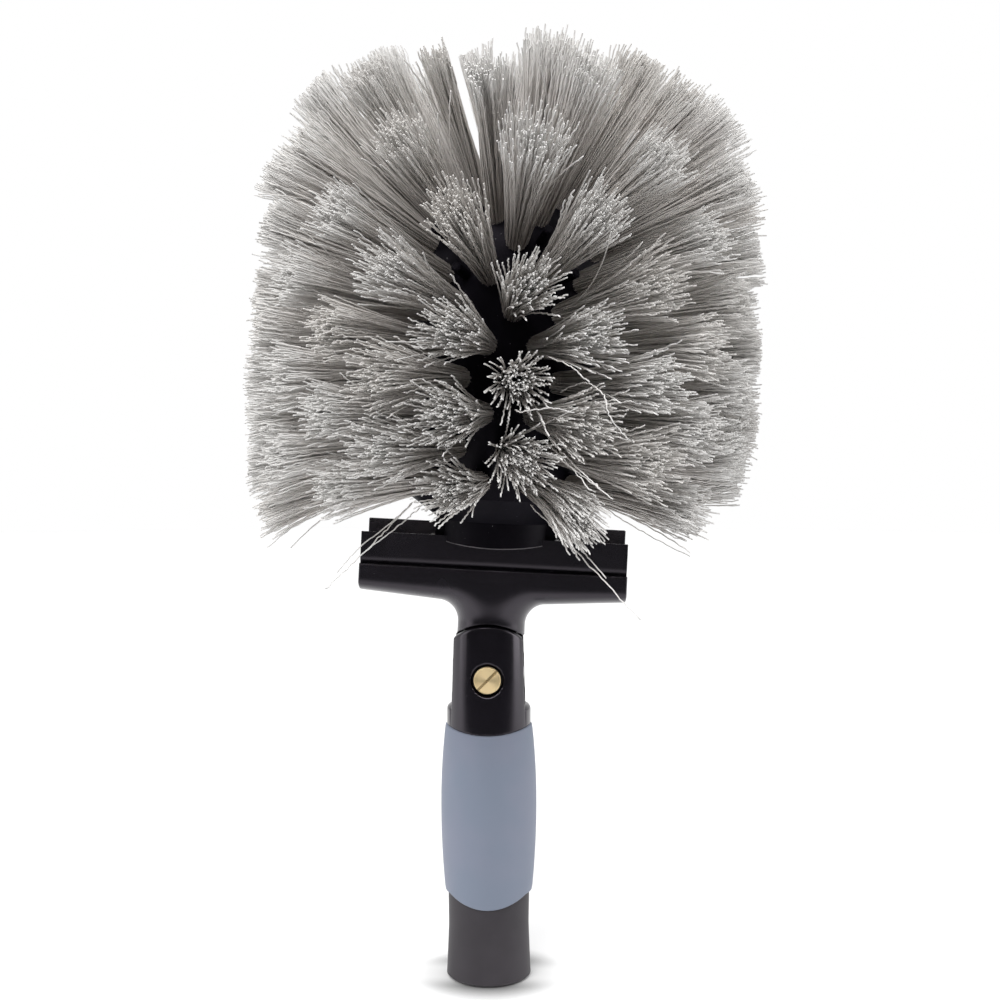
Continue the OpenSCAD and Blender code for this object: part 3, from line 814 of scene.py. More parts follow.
def rounded_copy(node, edge, angle):
    """A merged copy of a CAD node with its edges rounded where they are sharper than the angle in degrees."""
    shape = bmesh.new()
    shape.from_mesh(frame["nodes"][node].data)
    bmesh.ops.remove_doubles(shape, verts=shape.verts, dist=1e-6)
    bmesh.ops.dissolve_limit(shape, angle_limit=math.radians(0.5), verts=shape.verts, edges=shape.edges)
    mesh = smooth_mesh(node, shape)
    piece = new_piece("maker", mesh)
    bevel = piece.modifiers.new("Edges", "BEVEL")
    bevel.width = edge
    bevel.segments = 3
    bevel.limit_method = "ANGLE"
    bevel.angle_limit = math.radians(angle)
    made = piece.evaluated_get(bpy.context.evaluated_depsgraph_get())
    rounded_mesh = bpy.data.meshes.new_from_object(made)
    bpy.data.objects.remove(piece)
    rounded_mesh.materials.clear()
    rounded_mesh.set_sharp_from_angle(angle=math.radians(40))
    return rounded_mesh


# Head


class HOLDER:
    """Sizes of the head holder that its settings don't give, measured from the pivot"""

    lip = HOLDER_HIGH.z - PIVOT.z
    half_len = HOLDER_HIGH.x
    half_depth = HOLDER_HIGH.y
    belly_power = 2.5
    lip_edge = 0.4 * MM
    end_edge = 0.5 * MM
    side_edge = 1.5 * MM
    stem_sink = 2 * MM
    shoulder_r = 20.45 * MM
    tongue_r = 13.5 * MM
    tongue_half = 6 * MM
    neck_half = 10 * MM
    neck_top = 28 * MM
    neck_edge = 0.6 * MM
    bore_r = 3.05 * MM
    screw_x = 36 * MM
    screw_r = 2.04 * MM
    head_r = 4 * MM
    head_sink = 2 * MM
    step = 0.42 * MM


def holder_field(given, x, y, z):
    """Two tapering wings with a rounded belly and a channel, on a round stem with a flat tongue."""
    up = z - PIVOT.z
    side = abs(x)
    slope = (given["Wing End"] - given["Wing Middle"]) / HOLDER.half_len
    height = given["Wing Middle"] + side * slope
    belly = height - given["Wing Lip"]
    power = HOLDER.belly_power
    out = abs(y) / HOLDER.half_depth
    down = (HOLDER.lip - given["Wing Lip"] - up).most(0.0) / belly
    level = (out ** power + down ** power) ** (1 / power)
    level = level.most(0.1)
    steep_out = out ** (power - 1) / HOLDER.half_depth
    steep_down = down ** (power - 1) / belly
    steepness = (level ** (1 - power) * reach(steep_out, steep_down)).most(20.0)
    wing = meet((level - 1.0) / steepness, side - HOLDER.half_len, HOLDER.end_edge)
    channel_floor = HOLDER.lip - given["Channel Depth"]
    stem = meet(reach(x, y) - given["Stem Width"] / 2.0, up - (channel_floor - HOLDER.stem_sink))
    solid = join(wing, meet(stem, -up), given["Flare"])
    solid = meet(solid, up - HOLDER.lip, HOLDER.lip_edge)
    solid = meet(solid, abs(y) - HOLDER.half_depth, HOLDER.side_edge)
    round_pivot = reach(x, up)
    solid = cut(solid, round_pivot - HOLDER.shoulder_r, SOFT_EDGE)
    beside_tongue = abs(y) - HOLDER.tongue_half
    neck_middle = HOLDER.neck_top / 2
    neck = (side - HOLDER.neck_half).most(beside_tongue).most(abs(up - neck_middle) - neck_middle)
    tongue = meet(round_pivot - HOLDER.tongue_r, beside_tongue, HOLDER.lip_edge)
    solid = join(solid, join(neck, tongue), HOLDER.neck_edge)
    solid = cut(solid, meet(abs(y) - given["Channel Width"] / 2.0, channel_floor - up), SOFT_EDGE)
    solid = cut(solid, round_pivot - HOLDER.bore_r)
    round_screw = reach(side - HOLDER.screw_x, y)
    screw_height = given["Wing Middle"] + slope * HOLDER.screw_x
    spot = HOLDER.lip - screw_height + HOLDER.head_sink
    solid = cut(solid, meet(round_screw - HOLDER.head_r, up - spot), SOFT_EDGE)
    return cut(solid, round_screw - HOLDER.screw_r)


def make_holder(settings):
    mesh = carve("curved_holder", {
        "Wing Middle": settings.wing_middle,
        "Wing End": settings.wing_end,
        "Wing Lip": settings.wing_lip,
        "Stem Width": settings.stem_width,
        "Flare": settings.flare,
        "Channel Depth": settings.channel_depth,
        "Channel Width": BAR_HIGH.y - BAR_LOW.y + 2 * FIT,
        "Finish": FINISHES["satin_plastic"],
    }, (HOLDER_LOW, HOLDER_HIGH), HOLDER.step, holder_field)
    head_piece("curved_holder", mesh, "satin_plastic", "head_holder", slot="black_plastic")


class BAR:
    """Sizes of the brush bar that its settings don't give"""

    edge = 0.35 * MM
    floor = 3.2 * MM
    foot_gap = 1 * MM
    end_drop = 2 * MM
    post_r = 4.4 * MM
    post_rise = 9 * MM
    drawn_in = 0.9 * MM
    bend_in = 0.25 * MM
    groove_steps = (0.2 * MM, 1.6 * MM, 3 * MM)


def round_edges(shape, edges):
    bmesh.ops.bevel(shape, geom=edges, offset=BAR.edge, segments=3, profile=0.5, affect="EDGES")


def add_box(shape, low, high):
    """Adds a box with rounded edges."""
    corners = bmesh.ops.create_cube(shape, size=1.0)["verts"]
    size = Vector(high) - Vector(low)
    middle = (Vector(high) + Vector(low)) / 2
    matrix = Matrix.Translation(middle) @ Matrix.Diagonal((*size, 1.0))
    bmesh.ops.transform(shape, matrix=matrix, verts=corners)
    round_edges(shape, list(dict.fromkeys(e for v in corners for e in v.link_edges)))


def add_wall(shape, half, front, wall, top):
    """Adds the front wall, whose foot is drawn in behind the holder's lip."""
    low = BAR_LOW.z
    drawn_in = front + BAR.drawn_in
    foot, bend, face = (HOLDER_HIGH.z + step for step in BAR.groove_steps)
    outline = [
        (drawn_in, low), (front + wall, low), (front + wall, top), (front, top),
        (front, face), (front + BAR.bend_in, bend), (drawn_in, foot)]
    ends = [[shape.verts.new((x, y, z)) for y, z in outline] for x in (-half, half)]
    made = [shape.faces.new(end) for end in ends]
    for i in range(len(outline)):
        after = (i + 1) % len(outline)
        made.append(shape.faces.new((ends[0][i], ends[0][after], ends[1][after], ends[1][i])))
    edges = dict.fromkeys(e for f in made for e in f.edges)
    round_edges(shape, [e for e in edges if e.calc_face_angle(0) > math.radians(50)])


def add_post(shape, x, low, high, radius):
    made = bmesh.ops.create_cone(
        shape, cap_ends=True, segments=32, radius1=radius, radius2=radius, depth=high - low)
    bmesh.ops.translate(shape, verts=made["verts"], vec=(x, 0.0, (low + high) / 2))


def make_bar(settings):
    """The tray: a floor, a front and a rear wall, two cross walls, two end walls and two screw posts."""
    wall = settings.bar_wall
    half, depth = BAR_HIGH.x, BAR_HIGH.y
    front_top = BAR_LOW.z - FIT + settings.bar_front
    floor_top = BAR_LOW.z + BAR.floor
    cross = FOOT.radius + BAR.foot_gap
    shape = bmesh.new()
    add_box(shape, (-half, -depth, BAR_LOW.z), (half, depth, floor_top))
    add_wall(shape, half, -depth, wall, front_top)
    add_box(shape, (-half, depth - wall, BAR_LOW.z), (half, depth, BAR_HIGH.z))
    for side in (-1, 1):
        for place, top in ((cross + wall / 2, front_top), (half - wall / 2, front_top - BAR.end_drop)):
            add_box(
                shape,
                (side * place - wall / 2, -depth + wall / 2, BAR_LOW.z),
                (side * place + wall / 2, depth - wall / 2, top))
        add_post(shape, side * HOLDER.screw_x, BAR_LOW.z, floor_top + BAR.post_rise, BAR.post_r)
    mesh = smooth_mesh("bar", shape)
    mesh.set_sharp_from_angle(angle=math.radians(35))
    head_piece("tray_bar", mesh, "satin_plastic", "brush_bar", slot="black_plastic")


class FOOT:
    """Sizes of the core's foot"""

    radius = 21.6 * MM
    rise = 1.9 * MM
    front_edge = 164.6 * MM
    burr_r = 0.2 * MM
    burr_points = 121
    burr_turn = math.radians(144)
    burr_start = math.radians(162)


def make_foot_burr():
    """The thin rough seam that the mould left along the lower edge of the foot, coloured light grey as a
    painted highlight along that edge.
    """
    values = {
        "Foot Radius": FOOT.radius,
        "Rise": FOOT.rise,
        "Thickness": FOOT.burr_r,
        "Finish": FINISHES["torn_plastic"],
    }
    graph, given = new_tree("foot_burr", values)
    line = graph.straight_line(FOOT.burr_points)
    share = graph.add("GeometryNodeSplineParameter", output="Factor")
    angle = share * FOOT.burr_turn - FOOT.burr_start
    x = angle.maths("COSINE") * given["Foot Radius"]
    y = angle.maths("SINE") * given["Foot Radius"]
    arc = (given["Foot Radius"] ** 2 + given["Rise"] ** 2) / (given["Rise"] * 2.0)
    height = FOOT.front_edge + arc - (arc * arc - x * x).maths("SQRT")
    uneven = graph.chance(0.5, 1.4, graph.add("GeometryNodeInputIndex"), 3)
    tube = graph.tube(line, graph.vector(x, y, height), uneven, given["Thickness"], 6)
    mesh = from_nodes(end_tree(graph, tube, given), values)
    head_piece("foot_burr", mesh, "torn_plastic", slot="core_plastic")


# Bristles


class BRISTLE:
    """Sizes of the brush, in the upright head"""

    rows = 12
    wall_rows = 8
    row_zero = 189.2 * MM
    pitch = 12.5 * MM
    core_r = 35 * MM
    skin = 3.6 * MM
    dome_h = 28.5 * MM
    dome_z = row_zero + (wall_rows - 1.6) * pitch
    dome_first = 13.2
    dome_step = 16.4
    tip_r = 98 * MM
    tip_dome_h = 74 * MM
    tip_dome_z = dome_z + 14.2 * MM
    tip_first = 13.5
    tip_step = 16.6
    tip_drop = 4 * MM
    tip_gain = 33 * MM
    tip_power = 3.2
    round_power = 2.4
    tip_round_power = 2.6
    first_azimuth = math.radians(-9)
    tufts = 12
    lost_per_dome_row = 3
    levels = 12
    peg_rows = (2, 4, 6, 7)
    tilt = {0: 12 * MM, 1: 8 * MM, 2: 4 * MM, 3: 2 * MM}
    fall = {0: -1 * MM}
    front_fall = {0: 11 * MM}
    fall_azimuth = math.radians(-52)
    ragged = {0: 2.2, 9: 1.6, 10: 2.6, 11: 3.2}
    worn = (0.89, 0.96, 0.98, 0.99, 0.98, 0.96, 0.95, 0.945, 0.955, 0.935, 0.92, 0.87)


class PARTING:
    """The place where the tufts of the domed end stand apart, in the upright head"""

    x = -12.3 * MM
    z = 312.2 * MM
    slant = -0.276
    sight = -0.0036
    width = 14 * MM
    push = 2.4 * MM
    uneven = (0.8, 1.1)
    low = 282 * MM
    rise = 34 * MM
    gathered = 0.15
    dip = 7 * MM
    dip_width = 30 * MM
    dip_low = 312 * MM
    dip_rise = 40 * MM


def row_places(row):
    """Where a row leaves the core and where its tips are, as (radius, height) in the upright head."""
    if row < BRISTLE.wall_rows - 1:
        height = BRISTLE.row_zero + BRISTLE.pitch * row
        rise = BRISTLE.tip_gain * (row / (BRISTLE.wall_rows - 1)) ** BRISTLE.tip_power - BRISTLE.tip_drop
        return (BRISTLE.core_r, height), (BRISTLE.tip_r, height + rise)
    step = row - BRISTLE.wall_rows + 1
    root = rounded(
        BRISTLE.core_r, BRISTLE.dome_h, BRISTLE.dome_z, BRISTLE.dome_first + BRISTLE.dome_step * step,
        BRISTLE.round_power)
    tip = rounded(
        BRISTLE.tip_r, BRISTLE.tip_dome_h, BRISTLE.tip_dome_z, BRISTLE.tip_first + BRISTLE.tip_step * step,
        BRISTLE.tip_round_power)
    return root, tip


def rounded(half_width, height, base, degrees, power):
    """A point on the rounded outline of the core's or the brush's domed end."""
    angle = math.radians(degrees)
    sides = (math.cos(angle) / half_width) ** power + (math.sin(angle) / height) ** power
    distance = sides ** (-1 / power)
    return distance * math.cos(angle), base + distance * math.sin(angle)


def row_azimuth(row):
    return BRISTLE.first_azimuth + (row % 2) * math.pi / BRISTLE.tufts


def parting_distance(x, y, z):
    """How far a place lies to the right of the parting."""
    return x - (z - PARTING.z) * PARTING.slant - y * PARTING.sight - PARTING.x


class FILAMENT:
    """How the filaments bend and wave. What has no unit is a share of the filament's length"""

    sides = 3
    tip_crowding = 0.48
    flare_power = 1.4
    ring_power = 0.9
    tuft_widths = (0.85, 1.15)
    lengths = (-1.2, 0.4)
    widths = (0.8, 1.15)
    calm_share = 0.985
    wild_drift = 3.0
    drift = 0.05
    tuft_side = 0.03
    tuft_lift = 0.035
    bow = 0.012
    depth = 1.5 * MM


def filament_tree(values):
    """A row of tufts. Each filament leaves the core in its bundle, spreads and ends in tight waves."""
    graph, given = new_tree("filament_row", values)
    line = graph.straight_line(BRISTLE.levels + 1)
    inputs = {"Geometry": line, "Amount": given["Tufts"] * given["Filaments"]}
    copies = graph.add("GeometryNodeDuplicateElements", inputs, domain="SPLINE")
    number = copies.other("Duplicate Index")
    tuft = ((number + 0.5) / given["Filaments"]).maths("FLOOR")
    strand = number - tuft * given["Filaments"]
    parameter = graph.add("GeometryNodeSplineParameter", output="Factor")
    level = parameter.other("Index")
    along = parameter ** FILAMENT.tip_crowding

    def chance(low, high, key, offset):
        return graph.chance(low, high, key, given["Seed"] + offset)

    def either_way(most, key, offset):
        return chance(-most, most, key, offset)

    out_r = given["Tip Radius"] - given["Root Radius"]
    out_z = given["Tip Height"] - given["Root Height"]
    length = reach(out_r, out_z)
    cosine = out_r / length
    sine = out_z / length
    azimuth = given["Azimuth"] + tuft * (math.tau / given["Tufts"])

    ring = (strand + chance(0.1, 0.9, number, 1)) / given["Filaments"]
    turn = strand * GOLDEN_ANGLE + chance(0.0, math.tau, tuft, 2)
    wide = length * given["Spread"].maths("TANGENT") * chance(*FILAMENT.tuft_widths, tuft, 3)
    inside = ring ** 0.5 * given["Bundle"] * (1.0 - along ** FILAMENT.flare_power)
    flared = ring ** FILAMENT.ring_power * wide * along ** FILAMENT.flare_power
    out = inside + flared
    own_length = length * (1.0 + given["Raggedness"] * chance(*FILAMENT.lengths, number, 4))
    wild = chance(0.0, 1.0, number, 14).maths("GREATER_THAN", FILAMENT.calm_share)

    wave = (level - (level / 2.0).maths("FLOOR") * 2.0) * 2.0 - 1.0
    point = graph.add("GeometryNodeInputIndex")
    crimp = given["Crimp"] * along * (wave + either_way(0.5, point, 5))
    crimp_turn = chance(0.0, math.tau, number, 6)
    drift = along * along * length * (1.0 + wild * FILAMENT.wild_drift)
    bow = (along * math.pi).maths("SINE") * length
    side = drift * either_way(FILAMENT.drift, number, 7) + drift * either_way(FILAMENT.tuft_side, tuft, 8)
    side = side + bow * either_way(FILAMENT.bow, number, 15)
    lift = drift * either_way(FILAMENT.drift, number, 9) + drift * either_way(FILAMENT.tuft_lift, tuft, 10)
    near_front = (azimuth - BRISTLE.fall_azimuth).maths("COSINE").most(0.0) ** 6.0
    to_right = azimuth.maths("COSINE")
    fall = given["Fall"] - given["Tilt"] * to_right ** 3.0 + given["Front Fall"] * near_front
    fall = fall * along * along

    forward = along * (own_length + FILAMENT.depth) - FILAMENT.depth
    across = turn.maths("COSINE") * out + crimp_turn.maths("COSINE") * crimp + lift - fall
    beside = turn.maths("SINE") * out + crimp_turn.maths("SINE") * crimp + side
    radius = given["Root Radius"] + forward * cosine - across * sine
    height = given["Root Height"] + forward * sine + across * cosine
    x = radius * azimuth.maths("COSINE") - beside * azimuth.maths("SINE")
    y = radius * azimuth.maths("SINE") + beside * azimuth.maths("COSINE")
    tip_x = given["Tip Radius"] * azimuth.maths("COSINE")
    tip_y = given["Tip Radius"] * azimuth.maths("SINE")
    side_kept = parting_distance(tip_x, tip_y, given["Tip Height"]).maths("SIGN")
    off = parting_distance(x, y, height)
    own_off = off * side_kept
    high = ((height - PARTING.low) / PARTING.rise).most(0.0).least(1.0)
    kept_off = own_off + (own_off.most(own_off * -PARTING.gathered) - own_off) * high
    near = (1.0 - abs(kept_off) / PARTING.width).most(0.0)
    kept_off = kept_off + near * high * PARTING.push * chance(*PARTING.uneven, number, 16)
    dip_near = (1.0 - abs(off) / PARTING.dip_width).most(0.0)
    dip_high = ((height - PARTING.dip_low) / PARTING.dip_rise).most(0.0).least(1.0)
    place = graph.vector(x + kept_off * side_kept - off, y, height - dip_near * dip_high * PARTING.dip)

    kept = copies
    for title, value in (
        ("shade", chance(0.0, 1.0, number, 11)),
        ("tone", chance(0.0, 1.0, tuft, 12)),
        ("along", along),
    ):
        inputs = {"Geometry": kept, "Name": title, "Value": value}
        kept = graph.add("GeometryNodeStoreNamedAttribute", inputs, data_type="FLOAT", domain="POINT")
    width = given["Width"] / 2.0
    tubes = graph.tube(kept, place, chance(*FILAMENT.widths, number, 13), width, FILAMENT.sides)
    return end_tree(graph, tubes, given)


def row_values(row, settings):
    """What the filament tree is given for a row."""
    root, tip = row_places(row)
    tip = tuple(a + (b - a) * BRISTLE.worn[row] for a, b in zip(root, tip))
    return {
        "Tufts": BRISTLE.tufts - max(0, row - BRISTLE.wall_rows) * BRISTLE.lost_per_dome_row,
        "Filaments": settings.filaments,
        "Azimuth": row_azimuth(row),
        "Root Radius": root[0],
        "Root Height": root[1],
        "Tip Radius": tip[0],
        "Tip Height": tip[1],
        "Bundle": settings.bundle,
        "Spread": settings.spread,
        "Tilt": BRISTLE.tilt.get(row, 0.0),
        "Fall": BRISTLE.fall.get(row, 0.0),
        "Front Fall": BRISTLE.front_fall.get(row, 0.0),
        "Width": settings.width,
        "Crimp": settings.crimp,
        "Raggedness": settings.ragged * BRISTLE.ragged.get(row, 1.0),
        "Seed": settings.seed + 100 * row,
        "Finish": FINISHES["filament"],
    }


def make_rows(settings):
    tree = filament_tree(row_values(0, settings))
    for row in range(BRISTLE.rows):
        mesh = from_nodes(tree, row_values(row, settings))
        head_piece(f"filament_row_{row + 1}", mesh, "filament", f"bristle_row_{row + 1}")


def along_route(route, count):
    """Points spread evenly by number along a smooth curve through a route's points."""
    ends = [route[0] * 2 - route[1], *route, route[-1] * 2 - route[-2]]
    spans = len(route) - 1
    places = []
    for i in range(count):
        whole = min(spans - 1, int(i * spans / (count - 1)))
        t = i * spans / (count - 1) - whole
        a, b, c, d = ends[whole:whole + 4]
        places.append(0.5 * (
            2 * b + (c - a) * t + (2 * a - 5 * b + 4 * c - d) * t ** 2 + (3 * b - a - 3 * c + d) * t ** 3))
    return places


STRAY_LEVELS = 8
STRAY_WAVE = 0.25 * MM
STRAY_SHARE = 0.4


def add_stray(shape, layers, route, radius, chances):
    """Adds one loose filament of three sides along a route, slightly waved."""
    count = STRAY_LEVELS * len(route)
    places = along_route([Vector(p) * MM for p in route], count)
    waved = [p + Vector([chances.uniform(-1, 1) * STRAY_WAVE for _ in range(3)]) for p in places]
    shade = chances.uniform(0.0, 0.5)
    rings = []
    for i, place in enumerate(waved):
        ahead = (waved[min(i + 1, count - 1)] - waved[max(i - 1, 0)]).normalized()
        side = ahead.cross(Vector((0.3, 0.2, 0.9))).normalized()
        other = ahead.cross(side)
        ring = []
        for k in range(3):
            turn = math.tau * k / 3
            corner = shape.verts.new(place + (side * math.cos(turn) + other * math.sin(turn)) * radius)
            corner[layers["shade"]] = shade
            # The along value of a stray sets how much of the filaments' painted shade it takes
            corner[layers["along"]] = 0.6 + 0.4 * i / (count - 1)
            ring.append(corner)
        rings.append(ring)
    for low, high in zip(rings, rings[1:]):
        for k in range(3):
            after = (k + 1) % 3
            shape.faces.new((low[k], low[after], high[after], high[k]))
    shape.faces.new(rings[0])
    shape.faces.new(rings[-1])


def make_strays(settings):
    """The loose filaments at the front that have sprung out of their tufts."""
    chances = random.Random(settings.seed)
    shape = bmesh.new()
    layers = {name: shape.verts.layers.float.new(name) for name in ("shade", "tone", "along")}
    for route in STRAYS:
        add_stray(shape, layers, route, settings.width * STRAY_SHARE, chances)
    dressed("stray_filaments", smooth_mesh("stray_filaments", shape), "head", "filament")


# Routes of the loose filaments in millimetres, with the head at rest
STRAYS = [
    [(16.9, -52, 182.1), (27.0, -62, 172.2), (40.2, -76, 159.2), (52.4, -92, 146.9)],
    [(18.7, -52, 182.8), (32.0, -66, 169.8), (42.1, -78, 159.0)],
    [(23.9, -75, 200.0), (33.3, -86, 193.6), (43.5, -98, 185.9)],
    [(27.0, -60, 221.2), (32.8, -78, 223.2), (36.5, -88, 222.8), (40.8, -96, 218.6), (42.5, -99, 212.2),
     (48.6, -99, 204.6)],
    [(12.5, -95, 214.1), (14.4, -97, 213.5), (16.3, -98, 213.8), (23.6, -99, 214.7), (31.4, -99, 213.3)],
    [(22.9, -85, 231.7), (30.0, -94, 228.3), (35.9, -99, 222.8)],
    [(-3.0, -45, 192.4), (-7.4, -70, 197.6), (-12.2, -88, 203.7), (-15.7, -99, 207.4)],
    [(21.5, -70, 204.7), (30.1, -84, 196.1), (36.6, -98, 188.4)],
    [(22.9, -70, 205.4), (32.4, -86, 195.5), (39.4, -98, 189.4)],
    [(-25.4, -45, 182.1), (-35.0, -60, 171.6), (-43.7, -72, 162.3), (-50.0, -84, 155.7)],
    [(-22.5, -45, 180.7), (-30.2, -56, 174.2), (-40.6, -70, 165.5)],
    [(-24.0, -45, 183.5), (-33.0, -57, 175.0), (-42.0, -66, 167.5), (-47.5, -74, 160.5)],
    [(41.7, -30, 181.2), (57.3, -40, 171.7), (72.4, -50, 163.9)],
]


CORE_STEPS = 24
CORE_SIDES = 96


def make_core_skin():
    """The black skin that the tufts stand in, from its lower edge to its domed end."""
    outline = [(BRISTLE.core_r - BRISTLE.skin, SHELL_LOW.z), (BRISTLE.core_r, SHELL_LOW.z)]
    outline += [
        rounded(BRISTLE.core_r, BRISTLE.dome_h, BRISTLE.dome_z, 90 * i / CORE_STEPS, BRISTLE.round_power)
        for i in range(CORE_STEPS + 1)]
    outline[-1] = (0.0, outline[-1][1])
    head_piece("core_skin", lathe(outline, CORE_SIDES), "core_plastic")


class PEG:
    """Sizes of the pegs that their settings don't give"""

    edge = 0.63 * MM
    bottom = -2.2 * MM
    sides = 24


def peg_tree(values):
    """A ring of blunt pegs that point outwards."""
    graph, given = new_tree("peg_ring", values)
    half = given["Width"] / 2.0
    shoulder = given["Length"] - PEG.edge
    parts = []
    shank = (half, shoulder - PEG.bottom, PEG.bottom)
    bevel = (half - PEG.edge, PEG.edge, shoulder)
    for top, depth, base in (shank, bevel):
        inputs = {"Vertices": PEG.sides, "Radius Top": top, "Radius Bottom": half, "Depth": depth}
        cone = graph.add("GeometryNodeMeshCone", inputs, "Mesh")
        lifted = {"Geometry": cone, "Translation": graph.vector(0.0, 0.0, base)}
        parts.append(graph.add("GeometryNodeTransform", lifted))
    both = graph.tree.nodes.new("GeometryNodeJoinGeometry")
    for part in reversed(parts):
        graph.tree.links.new(part.socket, both.inputs[0])
    points = graph.add("GeometryNodePoints", {"Count": given["Pegs"]})
    number = graph.add("GeometryNodeInputIndex")
    turn = given["Azimuth"] + number * (math.tau / given["Pegs"])
    place = graph.vector(
        turn.maths("COSINE") * given["Radius"], turn.maths("SINE") * given["Radius"], given["Height"])
    placed = graph.add("GeometryNodeSetPosition", {"Geometry": points, "Position": place})
    turned = graph.vector(0.0, math.pi / 2 - given["Rise"], turn)
    inputs = {"Points": placed, "Instance": Field(graph, both.outputs[0]), "Rotation": turned}
    pegs = graph.add("GeometryNodeInstanceOnPoints", inputs)
    return end_tree(graph, pegs, given)


def peg_values(row, settings):
    """What the peg tree is given for a row. The pegs stand midway between tufts, in every second gap."""
    root, tip = row_places(row)
    offset = 0.5 if row % 2 == 0 else 1.5
    return {
        "Pegs": BRISTLE.tufts // 2,
        "Azimuth": row_azimuth(row) + math.tau / BRISTLE.tufts * offset,
        "Radius": root[0],
        "Height": root[1],
        "Rise": math.atan2(tip[1] - root[1], tip[0] - root[0]),
        "Length": settings.peg_length,
        "Width": settings.peg_width,
        "Finish": FINISHES["core_plastic"],
    }


def make_pegs(settings):
    tree = peg_tree(peg_values(BRISTLE.peg_rows[0], settings))
    for row in BRISTLE.peg_rows:
        mesh = from_nodes(tree, peg_values(row, settings))
        mesh.set_sharp_from_angle(angle=math.radians(30))
        head_piece(f"pegs_{row + 1}", mesh, "core_plastic")


# Stage


LIGHT_TARGET = Vector((0.0, 0.0, 0.2))
# Place and size of each light
LIGHTS = {
    "key": ((-0.25, -0.85, 1.0), (0.8, 0.5)),
    "left": ((-1.1, -0.25, 0.35), (0.5, 0.9)),
    "right": ((1.1, 0.0, 0.35), (0.5, 0.9)),
}


def make_light(name, power):
    place, size = LIGHTS[name]
    lamp = bpy.data.lights.new(name, "AREA")
    lamp.shape = "RECTANGLE"
    lamp.size, lamp.size_y = size
    lamp.energy = power
    holder = new_piece(name, lamp)
    holder.location = place
    holder.rotation_euler = (LIGHT_TARGET - Vector(place)).to_track_quat("-Z", "Y").to_euler()


class FLOOR:
    """Where the floor changes, as places from front to back, and how much"""

    back = (-0.40, -0.12)
    front = (-1.8, -2.8)
    front_share = 0.2
    dark = 0.06
    shadow_sides = 0.3
    shadow_fade = (4 * MM, 16 * MM)
    shadow_power = 3.5
    sides = 96


def floor_finish(settings):
    """A floor that the camera sees white with a soft shadow. In reflections its front is dark."""
    finish = Finish("floor")
    path = finish.add("ShaderNodeLightPath", output="Is Camera Ray")
    seen = path.most(path.other("Is Glossy Ray")).most(path.other("Is Transmission Ray"))
    forward = finish.parts(finish.place())[1]
    back = finish.ramp(forward, *FLOOR.back)
    plain = finish.add("ShaderNodeBsdfDiffuse", {"Color": opaque(settings.floor_colour)})
    dark = finish.add("ShaderNodeBsdfDiffuse", {"Color": opaque([FLOOR.dark] * 3)})
    front = finish.ramp(forward, *FLOOR.front, 0.0, FLOOR.front_share)
    pale = path.most(back).most(front)
    inputs = {"Distance": settings.shadow_reach}
    open_sky = finish.add("ShaderNodeAmbientOcclusion", inputs, "AO", samples=16)
    fade = finish.ramp(abs(forward), *FLOOR.shadow_fade, FLOOR.shadow_sides, 1.0)
    clear = 1.0 - path * fade * (1.0 - open_sky ** FLOOR.shadow_power)
    matte = finish.add("ShaderNodeMixShader", {0: pale * clear, 1: dark, 2: plain})
    strength = seen * settings.floor_glow * pale * clear
    glow = finish.add("ShaderNodeEmission", {"Strength": strength})
    both = finish.add("ShaderNodeAddShader", {0: matte, 1: glow})
    finish.add("ShaderNodeOutputMaterial", {"Surface": both})
    return finish.material


def make_floor(settings):
    shape = bmesh.new()
    bmesh.ops.create_circle(shape, cap_ends=True, segments=FLOOR.sides, radius=settings.floor_radius)
    mesh = bpy.data.meshes.new("floor")
    shape.to_mesh(mesh)
    shape.free()
    mesh.materials.append(floor_finish(settings))
    new_piece("floor", mesh)


def make_world(settings):
    """White surroundings that are dark behind the camera. The camera itself sees plain white."""
    world = bpy.data.worlds.new("surroundings")
    bpy.context.scene.world = world
    world.use_nodes = True
    graph = Graph(world.node_tree)
    graph.tree.nodes.clear()
    _, forward, upward = graph.parts(graph.add("ShaderNodeTexCoord", output="Generated"))
    towards_camera = graph.ramp(forward, -0.2, -0.65)
    above = graph.ramp(upward, 0.45, 0.85)
    level = settings.surroundings * (1.0 - towards_camera * (1.0 - above) * 0.84 + above * 0.7)
    seen = graph.add("ShaderNodeLightPath", output="Is Camera Ray")
    strength = level + seen * (1.0 - level)
    light = graph.add("ShaderNodeBackground", {"Color": (1.0, 1.0, 1.0, 1.0), "Strength": strength})
    graph.add("ShaderNodeOutputWorld", {"Surface": light})


def make_camera(settings):
    data = bpy.data.cameras.new("camera")
    data.lens = settings.camera_lens
    data.shift_y = -settings.camera_shift
    camera = new_piece("camera", data)
    camera.location = settings.camera_place
    camera.rotation_euler = (math.pi / 2, 0.0, settings.camera_turn)
    bpy.context.scene.camera = camera


class COBWEB_OT_stage(bpy.types.Operator):
    """Make the camera, the floor and the light"""

    bl_idname = "cobweb.stage"
    bl_label = "Stage"

    def execute(self, context):
        settings = context.scene.cobweb_stage
        make_camera(settings)
        make_floor(settings)
        make_world(settings)
        for name in LIGHTS:
            make_light(name, getattr(settings, f"{name}_power"))
        context.scene.view_settings.view_transform = "Standard"
        return {"FINISHED"}


class COBWEB_OT_handle(bpy.types.Operator):
    """Finish the socket tube, the grip, the yoke and the pivot screw"""

    bl_idname = "cobweb.handle"
    bl_label = "Handle"

    def execute(self, context):
        settings = context.scene.cobweb_handle
        make_grip(settings.grip_edge)
        make_yoke(settings)
        screw = rounded_copy("pivot_screw", SCREW_EDGE, 30)
        dressed("brass_screw", screw, "lock_screw", "brass", "pivot_screw")
        paint_nodes({
            "socket_tube": "tube_plastic", "pivot_nut": "brass",
            "yoke_pin": "steel", "screw_washer": "dark_steel"})
        return {"FINISHED"}


